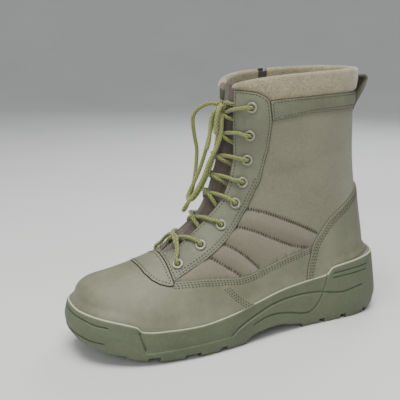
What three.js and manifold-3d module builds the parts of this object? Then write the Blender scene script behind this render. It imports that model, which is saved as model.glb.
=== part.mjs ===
// Left combat boot with a lateral lace row and a medial zip, in millimetres.
// The toe points to -X, the heel to +X, the lateral side to -Y and +Z is up.
// The origin lies on the floor under the middle of the sole.
import * as THREE from 'three';
import { mergeVertices } from 'three/addons/utils/BufferGeometryUtils.js';
import Module from 'manifold-3d';

const wasm = await Module();
wasm.setup();

// Overall sizes
const SOLE_LENGTH = 315;
const BALL_WIDTH = 109;
const INSTEP_HEIGHT = 110;
const BOOT_HEIGHT = 241;

// Walls and clearances
const UPPER_WALL = 2.2;
const PANEL = 1.5;
const COLLAR_PAD = 2.6;
const COLLAR_LINING = 1.4;
const GAP = 0.3;

// Sole
const RIM_HEIGHT = 60;
const FLOOR_HEIGHT = 30;
const TOE_SPRING = 13;
const SIDE_TUCK = 4.5;
const TOE_TUCK = 17;
const HEEL_TUCK = 9;
const LUG_DEPTH = 5;
const LUG_NOTCH = 14;
const CHANNEL = 5;
const CHANNEL_Y = 17;
const CHEVRON = 9;
const ARCH_RISE = 11;
const LINE_WIDTH = 1.6;
const LINE_DEPTH = 1.2;
const BUMPER_STEP = 0.8;
const END_SHARE = 0.45;
const INSOLE = 4;

// Throat, tongue, eyelets and laces
const THROAT_HALF = 12;
const THROAT_REACH = 20;
const THROAT_DEPTH = 18;
const TONGUE = 3.5;
const TONGUE_LAP = 12;
const TONGUE_SLACK = 0.8;
const TONGUE_ROOM = 12;
const TONGUE_EDGE = 2;
const TONGUE_SWELL = 1.6;
const TONGUE_TAPER = 0.5;
const TONGUE_STEPS = 21;
const TONGUE_ACROSS = 10;
const EYELETS = 8;
const EYELET_INSET = 15;
const EYELET_FLARE = 3.5;
const EYELET_BORE = 2.3;
const EYELET_BARREL = 2.9;
const EYELET_FLANGE = 4.9;
const EYELET_CROWN = 0.9;
const EYELET_ROUND = 0.8;
const EYELET_SPREAD = 0.17;
const EYELET_HOLE = 8;
const LACE = 4.2;
const LACE_DIVE = 0.5;
const LACE_LIFT = 0.5;
const LACE_LOWEST = 1;
const LACE_OVER_STAY = 0.4;
const LACE_SIDES = 5;
const LACE_STEPS = 6;
const BOW_SIDES = 6;
const BOW_STEPS = 1.5;
const KNOT = 4.6;

// Back strip and pull loop
const BACKSTAY_WIDTH = 14;
const STRAP = 2;
const STRAP_WIDTH = 20;
const LOOP_LINE = [
  [-4, 1.934], [16, 1.936], [18.5, 1.922], [18.8, 1.905], [14.3, 1.83], [5.5, 1.73], [1, 1.66],
];

// Zip
const ZIP_X = 52;
const ZIP_FOOT = 0.87;
const TAPE_WIDTH = 18;
const TAPE = 0.7;
const CHAIN_WIDTH = 6;
const CHAIN = 1.6;
const SLIDER_WIDTH = 8;
const SLIDER_LENGTH = 11;
const SLIDER_PLATE = 1.8;
const SLIDER_DROP = 1;
const SLIDER_ROOM = 1;
const BRIDGE_WIDTH = 2.4;
const BRIDGE_SPAN = 8;
const BRIDGE_RISE = 3.6;
const BRIDGE_BAR = 1.1;
const BRIDGE_SINK = 0.4;
const PULL_PIN = 1.6;
const PULL_WIDTH = 7;
const PULL_ARM = 1.5;
const PULL_THICK = 1.2;
const PULL_LENGTH = 16;
const PULL_REACH = 5.8;
const PULL_LAP = 1;
const TAB_LAP = 2;
const TAB_SIDE = 3;

// Sections of the last from the toe to above the collar. Each fans from the front ridge to the
// back or the bottom. x is a share of the sole length and y of the ball width. z is a level:
// 0 to 1 climbs the instep height and 1 to 2 the shaft. wide is where the section is widest.
const LAST_COLUMNS = [
  'frontX', 'frontZ', 'backX', 'backZ', 'outer', 'inner', 'ridge', 'wide', 'frontPower', 'backPower',
];
const LAST_ROWS = [
  [-0.47, 0.4, -0.47, 0.4, 0.064, 0.064, 0.064, 0.5, 2, 2],
  [-0.46, 0.536, -0.46, 0.164, -0.11, 0.239, 0.064, 0.52, 2, 2.2],
  [-0.425, 0.595, -0.425, 0.073, -0.266, 0.367, 0.055, 0.6, 2.1, 2.6],
  [-0.362, 0.623, -0.362, 0.036, -0.376, 0.436, 0.046, 0.66, 2.1, 3],
  [-0.286, 0.682, -0.286, 0, -0.431, 0.45, 0.037, 0.7, 2, 3],
  [-0.225, 0.755, -0.203, -0.036, -0.445, 0.431, 0.028, 0.72, 1.9, 3],
  [-0.165, 0.891, -0.114, -0.055, -0.436, 0.399, 0.018, 0.74, 1.9, 3],
  [-0.113, 1.031, -0.013, -0.055, -0.404, 0.353, 0.009, 0.74, 1.9, 3],
  [-0.076, 1.153, 0.114, -0.055, -0.362, 0.339, 0, 0.72, 1.9, 2.9],
  [-0.057, 1.267, 0.26, -0.064, -0.339, 0.33, 0, 0.66, 1.95, 2.8],
  [-0.048, 1.366, 0.4, -0.073, -0.335, 0.326, 0, 0.58, 2, 2.6],
  [-0.041, 1.466, 0.448, 0.218, -0.33, 0.326, 0, 0.52, 2, 2.5],
  [-0.037, 1.565, 0.446, 0.564, -0.339, 0.33, 0, 0.5, 2.1, 2.3],
  [-0.033, 1.664, 0.419, 0.955, -0.367, 0.349, 0, 0.5, 2.2, 2.2],
  [-0.03, 1.771, 0.392, 1.29, -0.39, 0.381, 0, 0.5, 2.2, 2.2],
  [-0.027, 1.878, 0.381, 1.641, -0.408, 0.404, 0, 0.5, 2.2, 2.2],
  [-0.024, 1.992, 0.381, 2.008, -0.413, 0.413, 0, 0.5, 2.2, 2.2],
  [-0.021, 2.115, 0.381, 2.374, -0.417, 0.417, 0, 0.5, 2.2, 2.2],
];
const LAST_TOP = LAST_ROWS.length - 1;
const SHAFT_FROM = 10;
const COLUMNS_AROUND = 24;

// Sole outline from toe to heel: x is a share of the sole length, outer and inner of the ball
// width, rim of the rim height, floor of the floor height and ground of the toe spring.
const SOLE_STRIDE = 20;
const SOLE_COLUMNS = ['x', 'outer', 'inner', 'rim', 'floor', 'ground'];
const SOLE_ROWS = [
  [-0.5, 0.073, 0.073, 0.75, 0.8, 1],
  [-0.495, -0.073, 0.22, 0.745, 0.79, 0.98],
  [-0.477, -0.202, 0.33, 0.735, 0.76, 0.9],
  [-0.442, -0.312, 0.417, 0.7, 0.7, 0.72],
  [-0.385, -0.406, 0.472, 0.63, 0.62, 0.45],
  [-0.362, -0.43, 0.486, 0.585, 0.6, 0.36],
  [-0.346, -0.443, 0.492, 0.51, 0.58, 0.3],
  [-0.292, -0.477, 0.5, 0.485, 0.55, 0.12],
  [-0.188, -0.5, 0.477, 0.475, 0.55, 0],
  [-0.091, -0.482, 0.417, 0.53, 0.62, 0],
  [0, -0.44, 0.372, 0.62, 0.73, 0],
  [0.091, -0.402, 0.365, 0.71, 0.84, 0],
  [0.179, -0.385, 0.372, 0.765, 0.93, 0],
  [0.243, -0.388, 0.382, 0.805, 0.98, 0],
  [0.259, -0.389, 0.384, 0.865, 0.98, 0],
  [0.276, -0.39, 0.386, 0.925, 1, 0],
  [0.364, -0.386, 0.386, 0.985, 1, 0],
  [0.435, -0.335, 0.344, 1.03, 1, 0.05],
  [0.474, -0.23, 0.245, 1.035, 1, 0.1],
  [0.495, -0.101, 0.115, 1.035, 1, 0.12],
  [0.5, 0.009, 0.009, 1.035, 1, 0.12],
];

// How the side wall of the sole bulges: rise is a share of its height, and side, toe and heel
// are shares of the tucks.
const WALL_COLUMNS = ['rise', 'side', 'toe', 'heel'];
const WALL_ROWS = [
  [0, 1, 1, 1],
  [0.12, 0.35, 0.32, 0.3],
  [0.3, 0.06, 0.06, 0],
  [0.62, 0, 0, 0.45],
  [0.95, 0.28, 0.15, 0.9],
  [1, 0.52, 0.21, 1],
];

// Seams and edges as lines in the side view: x is a share of the sole length, z a level.
const RIM_LINE = [
  [-0.13, 1.794], [-0.038, 1.817], [-0.029, 1.87], [-0.022, 1.897], [-0.012, 1.915], [0.013, 1.934],
  [0.047, 1.95], [0.093, 1.963], [0.146, 1.973], [0.258, 1.989], [0.349, 2], [0.54, 2],
];
const STAY_REAR = [
  [-0.235, 0.582], [-0.145, 0.711], [-0.104, 0.784], [-0.072, 0.852], [-0.04, 0.94], [0, 1.079],
  [0.038, 1.26], [0.051, 1.466], [0.055, 1.656], [0.046, 1.794], [0.035, 1.822], [0.017, 1.847],
];
const STAY_TOP = [[-0.025, 1.859], [-0.13, 1.863]];
const STAY_FRONT = [[-0.13, 1.86], [-0.6, 1.4]];
const TAB_FRONT = 0.058;
const TAB_REAR = 0.29;
const STRIP_FROM = 0.25;
const HEEL_END = 0.54;
const TOE_END = -0.6;
const VAMP_HEAD = 1.2;
const BELOW_SOLE = -20;
const PAD_LINE = [
  [0.046, 1.794], [0.082, 1.807], [0.124, 1.815], [0.187, 1.824], [0.262, 1.831], [0.397, 1.836],
  [0.54, 1.84],
];
const BAND_LINE = [
  [0.055, 1.656], [0.077, 1.674], [0.098, 1.683], [0.157, 1.708], [0.225, 1.721], [0.312, 1.725],
  [0.54, 1.733],
];
const VAMP_LINE = [
  [-0.235, 0.582], [-0.19, 0.586], [-0.159, 0.589], [-0.098, 0.575], [-0.054, 0.559], [-0.016, 0.564],
  [0.019, 0.586], [0.102, 0.65], [0.159, 0.691], [0.197, 0.718],
];
const COUNTER_LOW = [[0.176, -0.1], [0.178, 0.409], [0.182, 0.527], [0.197, 0.718]];
const COUNTER_HIGH = [
  [0.197, 0.718], [0.213, 0.791], [0.254, 0.936], [0.33, 1.073], [0.397, 1.16], [0.54, 1.198],
];
const APRON_REAR = -0.24;
const APRON_RIDGE = 0.034;
const APRON_FOOT = 0.4;
// Front edge of the throat apron in the plan view: x is a share of the sole length, y of the
// ball width out from the ridge.
const APRON_EDGE = [
  [-0.24, 0.342], [-0.256, 0.335], [-0.277, 0.305], [-0.293, 0.255], [-0.304, 0.175], [-0.308, 0],
];

// Lines cut into the side of the sole: x is a share of the sole length, z of the rim height.
const SOLE_LINES = [
  [[-0.094, 0.215], [-0.067, 0.315], [-0.034, 0.385], [0.003, 0.45], [0.045, 0.515], [0.107, 0.56],
    [0.165, 0.568], [0.226, 0.547], [0.28, 0.498], [0.312, 0.487], [0.341, 0.513], [0.381, 0.542]],
  [[0.25, 0.84], [0.237, 0.592], [0.227, 0.475], [0.209, 0.332], [0.187, 0.253], [0.159, 0.258],
    [0.101, 0.335], [0.054, 0.368], [0.023, 0.358], [-0.019, 0.297]],
  [[-0.357, 0.52], [-0.343, 0.247]],
  [[0.272, 0.82], [0.403, 0.87]],
  [[0.27, 0.745], [0.396, 0.785]],
];
// The bumper panel stands proud of the wall between these lines.
const WALL_PANEL = [
  [-0.356, 0.62], [-0.343, 0.2], [-0.094, 0.215], [-0.067, 0.315], [-0.034, 0.385], [0.003, 0.45],
  [0.045, 0.515], [0.107, 0.56], [0.165, 0.568], [0.23, 0.547], [0.237, 0.592], [0.25, 1.2],
  [-0.1, 1.2], [-0.356, 1.2],
];
// Middles of the notches between the lugs as shares of the sole length, and their widths as
// shares of the widest. The arch hollow has its heights as shares of the arch rise.
const NOTCHES = [
  [-0.464, 0.36], [-0.4, 0.52], [-0.32, 0.71], [-0.212, 1], [-0.118, 0.5], [0.236, 0.47], [0.316, 0.47],
  [0.405, 0.36],
];
const ARCH = [
  [-0.044, 0], [-0.038, 0.48], [-0.009, 0.82], [0.045, 0.95], [0.084, 0.9], [0.162, 0.4], [0.165, 0],
];
const CHANNEL_RUNS = [[-0.45, -0.06], [0.18, 0.45]];

// The throat opening along the sections, and how far the tongue stands out of it in millimetres.
const THROAT_FROM = 4.95;
const THROAT_ROUND = 0.45;
const THROAT_FINE_TO = 6;
const TONGUE_FROM = 4.6;
const TONGUE_TO = 15.1;
const TONGUE_BULGE = [[4.6, -2.5], [5.4, -1.5], [7, 1.5], [8.5, 5], [10, 4], [12, 1.5], [14, 0], [15.1, 0]];
const FIRST_EYELET = 5.15;
const LAST_EYELET = 14.15;
// How far a strand has climbed, between two pairs of eyelets, over the stay, at the ridge and
// where it dives. A top strand meets the knot at shares of the knot's radius behind, beside and up.
const STRAND_SHARES = [0.15, 0.4, 0.6];
const TOP_STEP = 0.1;
const KNOT_GRIP = [0.65, 0.74, 0.56];

// The routes of the bow and the free ends from the knot.
const KNOT_PLACE = [-15.6, -1, 205];
const BOW_LOOP_LONG = [
  [-17, 1.2, 209.2], [-21, 5, 210], [-25.6, 10, 208.2], [-31.4, 14, 203.6], [-34.1, 16, 197.5],
  [-33.7, 17, 190], [-31.9, 18, 180], [-29.9, 18, 169], [-30.7, 17.5, 155.6], [-33, 16, 144],
  [-36.5, 14, 133], [-41, 11, 124], [-47, 6, 117.5], [-52, -1, 118], [-51, -6.5, 124.5], [-45, -9, 133.6],
  [-37.2, -10, 146.6], [-31, -10.6, 161.5], [-24.5, -10.8, 172.5], [-20, -10.8, 184.6],
  [-18.8, -9.8, 195], [-16.4, -5.4, 201.8],
];
const BOW_LOOP_SHORT = [
  [-17, -1, 200.6], [-18.9, -2.6, 192], [-20, -4.4, 183.4], [-22.4, -4.6, 171.7], [-26, -4.6, 160.5],
  [-32, -4, 145.5], [-38, -3.2, 134], [-43, -2, 127.5], [-45.5, 1.5, 126.5], [-43.5, 5, 129.5],
  [-39.5, 6.5, 135], [-35.5, 7, 143], [-30.5, 7, 155], [-26.5, 6.5, 166], [-23.5, 6, 177], [-21.2, 5, 189],
  [-17.4, 2.6, 201.6],
];
const LACE_END_LONG = [
  [-20, 0.4, 203.8], [-23.2, 0.8, 198], [-25, 0, 188], [-27, -1.6, 178], [-29.8, -2.4, 169.6],
];
const LACE_END_SHORT = [
  [-15.8, -2.5, 206.8], [-17, -6.2, 208.4], [-20.6, -9.4, 206.4], [-23.6, -11, 201.5], [-25, -11.4, 195],
  [-25.4, -11.2, 184.5],
];

const FAR = 400;

function level(z) {
  if (z <= 1) {
    return z * INSTEP_HEIGHT;
  }
  return INSTEP_HEIGHT + (z - 1) * (BOOT_HEIGHT - INSTEP_HEIGHT);
}

// A side view line in millimetres.
function side(line) {
  return line.map(([x, z]) => [x * SOLE_LENGTH, level(z)]);
}

function soleLine(line) {
  return line.map(([x, z]) => [x * SOLE_LENGTH, z * RIM_HEIGHT]);
}

// The value of a two-column table at a place in its first column.
function along(table, at) {
  const next = table.findIndex(([place]) => place >= at);
  if (next < 0) {
    return table[table.length - 1][1];
  }
  if (next === 0) {
    return table[0][1];
  }
  const [[fromPlace, from], [toPlace, to]] = [table[next - 1], table[next]];
  return from + ((to - from) * (at - fromPlace)) / (toPlace - fromPlace);
}

// A smooth row between the rows of a table. before stands for the row ahead of the first.
function smoothRow(rows, at, before) {
  const last = rows.length - 1;
  const index = Math.min(Math.max(Math.floor(at), 0), last - 1);
  const t = at - index;
  const row = (k) => {
    if (k < 0) {
      return before;
    }
    if (k > last) {
      return rows[last].map((value, column) => 2 * value - rows[last - 1][column]);
    }
    return rows[k];
  };
  const [a, b, c, d] = [row(index - 1), row(index), row(index + 1), row(index + 2)];
  return b.map((value, i) => {
    const linear = c[i] - a[i];
    const square = 2 * a[i] - 5 * value + 4 * c[i] - d[i];
    const cube = -a[i] + 3 * value - 3 * c[i] + d[i];
    return 0.5 * (2 * value + linear * t + square * t * t + cube * t * t * t);
  });
}

function named(columns, values) {
  return Object.fromEntries(columns.map((name, i) => [name, values[i]]));
}

const lastRows = LAST_ROWS.map((values) => {
  const row = named(LAST_COLUMNS, values);
  return [
    row.frontX * SOLE_LENGTH, level(row.frontZ), row.backX * SOLE_LENGTH, level(row.backZ),
    row.outer * BALL_WIDTH, row.inner * BALL_WIDTH, row.ridge * BALL_WIDTH,
    row.wide, row.frontPower, row.backPower,
  ];
});
// Ahead of the tip the first section is mirrored, so the toe closes as a round end.
const beforeToe = (() => {
  const [frontX, frontZ, backX, backZ, outer, inner, ...rest] = lastRows[1];
  return [backX, backZ, frontX, frontZ, inner, outer, ...rest];
})();

// A point of the last. station runs along the sections, turn from -1 round the lateral side to
// 0 on the front ridge and round the medial side to 1 at the back.
function lastPoint(station, turn) {
  const row = named(LAST_COLUMNS, smoothRow(lastRows, station, beforeToe));
  const wrapped = turn > 1 ? turn - 2 : turn < -1 ? turn + 2 : turn;
  const angle = Math.abs(wrapped) * Math.PI;
  const front = angle <= Math.PI / 2;
  const power = 2 / (front ? row.frontPower : row.backPower);
  const cosine = Math.abs(Math.cos(angle)) ** power;
  const sine = Math.abs(Math.sin(angle)) ** power;
  const reach = front ? row.wide * (1 - cosine) : row.wide + (1 - row.wide) * cosine;
  const width = wrapped < 0 ? row.outer : row.inner;
  return new THREE.Vector3(
    row.frontX + (row.backX - row.frontX) * reach,
    row.ridge + (width - row.ridge) * sine,
    row.frontZ + (row.backZ - row.frontZ) * reach,
  );
}

function lastNormal(station, turn) {
  const step = 0.02;
  const up = lastPoint(station + step, turn).sub(lastPoint(Math.max(station - step, 0), turn));
  const across = lastPoint(station, turn + step).sub(lastPoint(station, turn - step));
  return up.cross(across).normalize();
}

// A point at a distance outside the last.
function surface(station, turn, offset) {
  return lastPoint(station, turn).addScaledVector(lastNormal(station, turn), offset);
}

// The turn whose girth from the ridge is a given length, on the lateral (-1) or medial (1) side.
function turnAt(station, girth, hand) {
  const step = 0.01;
  let travelled = 0;
  let turn = 0;
  let point = lastPoint(station, 0);
  while (turn < 1) {
    const next = lastPoint(station, hand * (turn + step));
    const length = next.distanceTo(point);
    if (travelled + length >= girth) {
      return hand * (turn + (step * (girth - travelled)) / length);
    }
    travelled += length;
    turn += step;
    point = next;
  }
  return hand;
}

// Solids
function solid(geometry) {
  const bare = geometry.index ? geometry.toNonIndexed() : geometry.clone();
  bare.deleteAttribute('normal');
  bare.deleteAttribute('uv');
  const merged = mergeVertices(bare, 1e-4);
  const made = new wasm.Manifold(new wasm.Mesh({
    numProp: 3,
    vertProperties: merged.attributes.position.array,
    triVerts: new Uint32Array(merged.index.array),
  }));
  return made;
}

function geometryOf(made) {
  const { vertProperties, triVerts, numProp } = made.getMesh();
  const positions = new Float32Array((vertProperties.length / numProp) * 3);
  for (let i = 0; i < positions.length / 3; i += 1) {
    positions.set(vertProperties.subarray(i * numProp, i * numProp + 3), i * 3);
  }
  const geometry = new THREE.BufferGeometry();
  geometry.setAttribute('position', new THREE.BufferAttribute(positions, 3));
  geometry.setIndex(new THREE.BufferAttribute(new Uint32Array(triVerts), 1));
  const flat = geometry.toNonIndexed();
  flat.computeVertexNormals();
  return flat;
}

function joined(parts) {
  return parts.reduce((whole, part) => whole.add(part));
}

// A closed solid through rings of points, with its ends closed on their middles.
function loft(rings) {
  const around = rings[0].length;
  const points = rings.flat();
  const faces = [];
  for (let r = 0; r + 1 < rings.length; r += 1) {
    for (let k = 0; k < around; k += 1) {
      const a = r * around + k;
      const b = r * around + ((k + 1) % around);
      faces.push(a, b, b + around, a, b + around, a + around);
    }
  }
  const ends = [[rings[0], 0, false], [rings[rings.length - 1], (rings.length - 1) * around, true]];
  for (const [ring, start, last] of ends) {
    const middle = ring.reduce((sum, p) => sum.add(p), new THREE.Vector3()).divideScalar(around);
    points.push(middle);
    for (let k = 0; k < around; k += 1) {
      const [a, b] = [start + k, start + ((k + 1) % around)];
      faces.push(...(last ? [a, b, points.length - 1] : [b, a, points.length - 1]));
    }
  }
  const turned = solid(meshGeometry(points, faces));
  if (turned.volume() > 0) {
    return turned;
  }
  for (let i = 0; i < faces.length; i += 3) {
    [faces[i + 1], faces[i + 2]] = [faces[i + 2], faces[i + 1]];
  }
  return solid(meshGeometry(points, faces));
}

function meshGeometry(points, faces) {
  const geometry = new THREE.BufferGeometry();
  const numbers = points.flatMap((p) => p.toArray());
  geometry.setAttribute('position', new THREE.Float32BufferAttribute(numbers, 3));
  geometry.setIndex(faces);
  return geometry;
}

function flatShape(points) {
  return new THREE.Shape(points.map(([u, v]) => new THREE.Vector2(u, v)));
}

// A side view outline made solid from one y to another.
function sidePrism(points, fromY, toY) {
  const made = new THREE.ExtrudeGeometry(flatShape(points), { depth: toY - fromY, bevelEnabled: false });
  made.rotateX(Math.PI / 2);
  made.translate(0, toY, 0);
  return solid(made);
}

// A plan outline made solid from one z to another.
function planPrism(points, fromZ, toZ) {
  const made = new THREE.ExtrudeGeometry(flatShape(points), { depth: toZ - fromZ, bevelEnabled: false });
  made.translate(0, 0, fromZ);
  return solid(made);
}

function box(width, depth, height, x, y, z) {
  const made = new THREE.BoxGeometry(width, depth, height);
  made.translate(x, y, z);
  return solid(made);
}

// Where each point of a line goes when the line moves sideways by a distance.
function shifted(points, distance, closed) {
  const count = points.length;
  return points.map(([x, z], i) => {
    const before = points[closed ? (i + count - 1) % count : Math.max(i - 1, 0)];
    const after = points[closed ? (i + 1) % count : Math.min(i + 1, count - 1)];
    const arrive = new THREE.Vector2(x - before[0], z - before[1]);
    const leave = new THREE.Vector2(after[0] - x, after[1] - z);
    if (arrive.length() === 0) {
      arrive.copy(leave);
    }
    if (leave.length() === 0) {
      leave.copy(arrive);
    }
    const mean = arrive.normalize().clone().add(leave.normalize()).normalize();
    const stretch = Math.min(1 / Math.max(mean.dot(arrive), 0.4), 2);
    return [x - mean.y * distance * stretch, z + mean.x * distance * stretch];
  });
}

// A closed outline drawn in all round by a distance.
function drawnIn(points, distance) {
  const area = THREE.ShapeUtils.area(points.map(([u, v]) => new THREE.Vector2(u, v)));
  return shifted(points, area > 0 ? distance : -distance, true);
}

// The outline of a line with a width.
function ribbon(points, width) {
  return [...shifted(points, width / 2, false), ...shifted(points, -width / 2, false).reverse()];
}

// The last made solid at an offset outside or inside its surface.
const lastCache = new Map();
function last(offset) {
  const key = offset.toFixed(3);
  if (!lastCache.has(key)) {
    lastCache.set(key, makeLast(offset));
  }
  return lastCache.get(key);
}

function makeLast(offset) {
  const stations = [0.12, 0.35, 0.65];
  for (let station = 1; station <= LAST_TOP; station += station < SHAFT_FROM ? 0.5 : 1) {
    stations.push(station);
  }
  const rings = stations.map((station) => Array.from({ length: COLUMNS_AROUND }, (_, k) => (
    surface(station, -1 + (2 * k) / COLUMNS_AROUND, offset)
  )));
  return loft(rings);
}

// The layer between two offsets.
function layer(from, to) {
  return last(to).subtract(last(from));
}

const soleRows = SOLE_ROWS.map((values) => {
  const row = named(SOLE_COLUMNS, values);
  return [
    row.x * SOLE_LENGTH, row.outer * BALL_WIDTH, row.inner * BALL_WIDTH,
    row.rim * RIM_HEIGHT, row.floor * FLOOR_HEIGHT, row.ground * TOE_SPRING,
  ];
});

function soleStations() {
  const stations = [];
  soleRows.forEach(([x], index) => {
    stations.push(index);
    if (index + 1 < soleRows.length && soleRows[index + 1][0] - x > SOLE_STRIDE) {
      stations.push(index + 0.5);
    }
  });
  return stations.map((at) => named(SOLE_COLUMNS, smoothRow(soleRows, at, soleRows[0])));
}

// A height of the sole, such as its floor, over a place on its length.
function soleHeight(name, x) {
  const column = SOLE_COLUMNS.indexOf(name);
  return along(soleRows.map((row) => [row[0], row[column]]), x);
}

// The sole's outer body, drawn in all round by an inset.
function soleBody(inset) {
  const stations = soleStations();
  const half = SOLE_LENGTH / 2;
  const rings = WALL_ROWS.map((values) => {
    const wall = named(WALL_COLUMNS, values);
    const place = (station, y) => {
      const end = station.x < 0 ? wall.toe * TOE_TUCK : wall.heel * HEEL_TUCK;
      const share = Math.max(1 - (1 - Math.abs(station.x) / half) / END_SHARE, 0) ** 2;
      const middle = (station.outer + station.inner) / 2;
      const narrow = 1 - (2 * (wall.side * SIDE_TUCK + inset)) / BALL_WIDTH;
      return new THREE.Vector3(
        (station.x - Math.sign(station.x) * end * share) * (1 - inset / half),
        middle + (y - middle) * narrow,
        Math.max(station.ground, 0) + (station.rim - Math.max(station.ground, 0)) * wall.rise,
      );
    };
    const outer = stations.map((station) => place(station, station.outer));
    const inner = stations.slice(1, -1).map((station) => place(station, station.inner)).reverse();
    return [...outer, ...inner];
  });
  return stripLoft(rings, stations.length);
}

// A loft whose end faces are strips between the two sides of each ring.
function stripLoft(rings, count) {
  const around = rings[0].length;
  const points = rings.flat();
  const faces = [];
  for (let r = 0; r + 1 < rings.length; r += 1) {
    for (let k = 0; k < around; k += 1) {
      const a = r * around + k;
      const b = r * around + ((k + 1) % around);
      faces.push(a, b, b + around, a, b + around, a + around);
    }
  }
  const opposite = (k) => (around - k) % around;
  for (const [start, up] of [[0, false], [(rings.length - 1) * around, true]]) {
    for (let k = 0; k + 1 < count; k += 1) {
      const [a, b] = [start + k, start + k + 1];
      const [c, d] = [start + opposite(k + 1), start + opposite(k)];
      const quad = [[a, b, c], [a, c, d]].filter(([p, q, r]) => p !== q && q !== r && p !== r);
      for (const face of quad) {
        faces.push(...(up ? face : [...face].reverse()));
      }
    }
  }
  return solid(meshGeometry(points, faces));
}

// Everything of a side view above a line.
function above(line) {
  const [firstX] = line[0];
  const [lastX] = line[line.length - 1];
  return sidePrism([...line, [lastX, FAR], [firstX, FAR]], -FAR, FAR);
}

function floorLine(raise) {
  const ends = [-SOLE_LENGTH, SOLE_LENGTH];
  const places = soleRows.map((row) => row[0]);
  return [ends[0], ...places, ends[1]].map((x) => [x, soleHeight('floor', x) + raise]);
}

const panelOuter = GAP + PANEL;
const collarOuter = GAP + COLLAR_PAD;
const collarInner = -(UPPER_WALL + GAP + COLLAR_LINING);
const aboveFloor = above(floorLine(GAP));

// The throat opening, a wedge that follows the ridge and is wider or deeper by a margin.
function throat(margin) {
  const rings = [];
  const [fine, wide, narrowest] = [0.15, 0.5, 0.5];
  for (let station = THROAT_FROM; station <= LAST_TOP; station += station < THROAT_FINE_TO ? fine : wide) {
    const round = Math.min((station - THROAT_FROM) / THROAT_ROUND, 1);
    const half = Math.max(THROAT_HALF * Math.sqrt(1 - (1 - round) ** 2), narrowest) + margin;
    const ridge = lastPoint(station, 0);
    const out = lastNormal(station, 0);
    out.y = 0;
    out.normalize();
    const corner = (reach, y) => ridge.clone().addScaledVector(out, reach).setY(ridge.y + y);
    rings.push([
      corner(THROAT_REACH, -half), corner(THROAT_REACH, half),
      corner(-THROAT_DEPTH, half), corner(-THROAT_DEPTH, -half),
    ]);
  }
  return loft(rings);
}

// Places of the eyelets, with the turn and the way out of the surface.
function eyeletPlace(index, hand) {
  const share = index / (EYELETS - 1);
  const station = FIRST_EYELET + (LAST_EYELET - FIRST_EYELET) * eyeletShare(share);
  const girth = THROAT_HALF + EYELET_INSET + EYELET_FLARE * share;
  const turn = turnAt(station, girth, hand);
  return { station, turn, girth, out: lastNormal(station, turn) };
}

// Sections bunch up towards the shaft, so equal steps of length take larger steps of station.
function eyeletShare(share) {
  return share * (1 - EYELET_SPREAD + EYELET_SPREAD * share);
}

// Room for the barrels through the stays, and under the lace for the flanges.
function eyeletCylinder({ station, turn, out }, radius, reach) {
  const made = new THREE.CylinderGeometry(radius, radius, 2 * reach, 8);
  made.applyQuaternion(new THREE.Quaternion().setFromUnitVectors(new THREE.Vector3(0, 1, 0), out));
  made.translate(...lastPoint(station, turn).toArray());
  return solid(made);
}

const holeCutters = [];
const roomCutters = [];
for (const hand of [-1, 1]) {
  for (let i = 0; i < EYELETS; i += 1) {
    const place = eyeletPlace(i, hand);
    holeCutters.push(eyeletCylinder(place, EYELET_BARREL + GAP, EYELET_HOLE));
    roomCutters.push(eyeletCylinder(place, EYELET_FLANGE + GAP, panelOuter + 2 * GAP + EYELET_CROWN));
  }
}
const holes = joined(holeCutters);
const eyeletRoom = joined(roomCutters);

// The rim of the shell, which stands inside the collar roll.
function shellRim(raise) {
  return side(RIM_LINE).map(([x, z]) => [x, z - COLLAR_PAD + raise]);
}

// Upper: one hollow shell, open at the collar, the throat and underneath.
function makeUpper() {
  return layer(-UPPER_WALL, 0)
    .intersect(aboveFloor)
    .subtract(above(shellRim(0)))
    .subtract(throat(0))
    .subtract(holes);
}

// A panel over the upper, cut from the layer between two offsets by a side view outline.
function panel(outline, hand, outer = panelOuter, inner = GAP) {
  const from = hand > 0 ? 0 : -FAR;
  const to = hand < 0 ? 0 : FAR;
  const cut = sidePrism(drawnIn(outline, GAP / 2), from, to);
  return layer(inner, outer).intersect(cut).intersect(aboveFloor);
}

const vampLine = side(VAMP_LINE);
const stayRear = side(STAY_REAR);
const stayTop = side(STAY_TOP);
const padLine = side(PAD_LINE);
const bandLine = side(BAND_LINE);
const counterLow = side(COUNTER_LOW);
const counterHigh = side(COUNTER_HIGH);
const rimLine = side(RIM_LINE);
const heelEnd = HEEL_END * SOLE_LENGTH;
const toeEnd = TOE_END * SOLE_LENGTH;
const apronRear = APRON_REAR * SOLE_LENGTH;

// The apron outline in plan, grown or drawn in by a margin.
function apronOutline(margin) {
  const ridge = APRON_RIDGE * BALL_WIDTH;
  const edge = APRON_EDGE.map(([x, y]) => [x * SOLE_LENGTH, y * BALL_WIDTH]);
  const mirrored = edge.slice(0, -1).reverse().map(([x, y]) => [x, -y]);
  const outline = [...edge, ...mirrored].map(([x, y]) => [x, y + ridge]);
  return drawnIn(outline, -margin);
}

function makeVamp() {
  const head = level(VAMP_HEAD);
  const outline = [
    [toeEnd, BELOW_SOLE], [toeEnd, head], [apronRear, head], [apronRear, vampLine[0][1]], ...vampLine,
    ...[...counterLow].reverse().slice(1),
  ];
  return panel(outline, 0).subtract(planPrism(apronOutline(GAP / 2), level(APRON_FOOT), FAR));
}

function makeApron() {
  const cut = planPrism(apronOutline(-GAP / 2), level(APRON_FOOT), FAR);
  return layer(GAP, panelOuter).intersect(cut).subtract(throat(0));
}

function makeStay(hand) {
  const outline = [...stayRear, stayTop[0], ...side(STAY_FRONT), [toeEnd, vampLine[0][1]]];
  const stop = apronRear + GAP / 2;
  const ahead = sidePrism([[toeEnd, 0], [stop, 0], [stop, FAR], [toeEnd, FAR]], -FAR, FAR);
  return panel(outline, hand).subtract(throat(0)).subtract(ahead).subtract(holes);
}

function makeCounter() {
  const outline = [...counterLow, ...counterHigh.slice(1), [heelEnd, counterLow[0][1]]];
  return panel(outline, 0);
}

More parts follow.
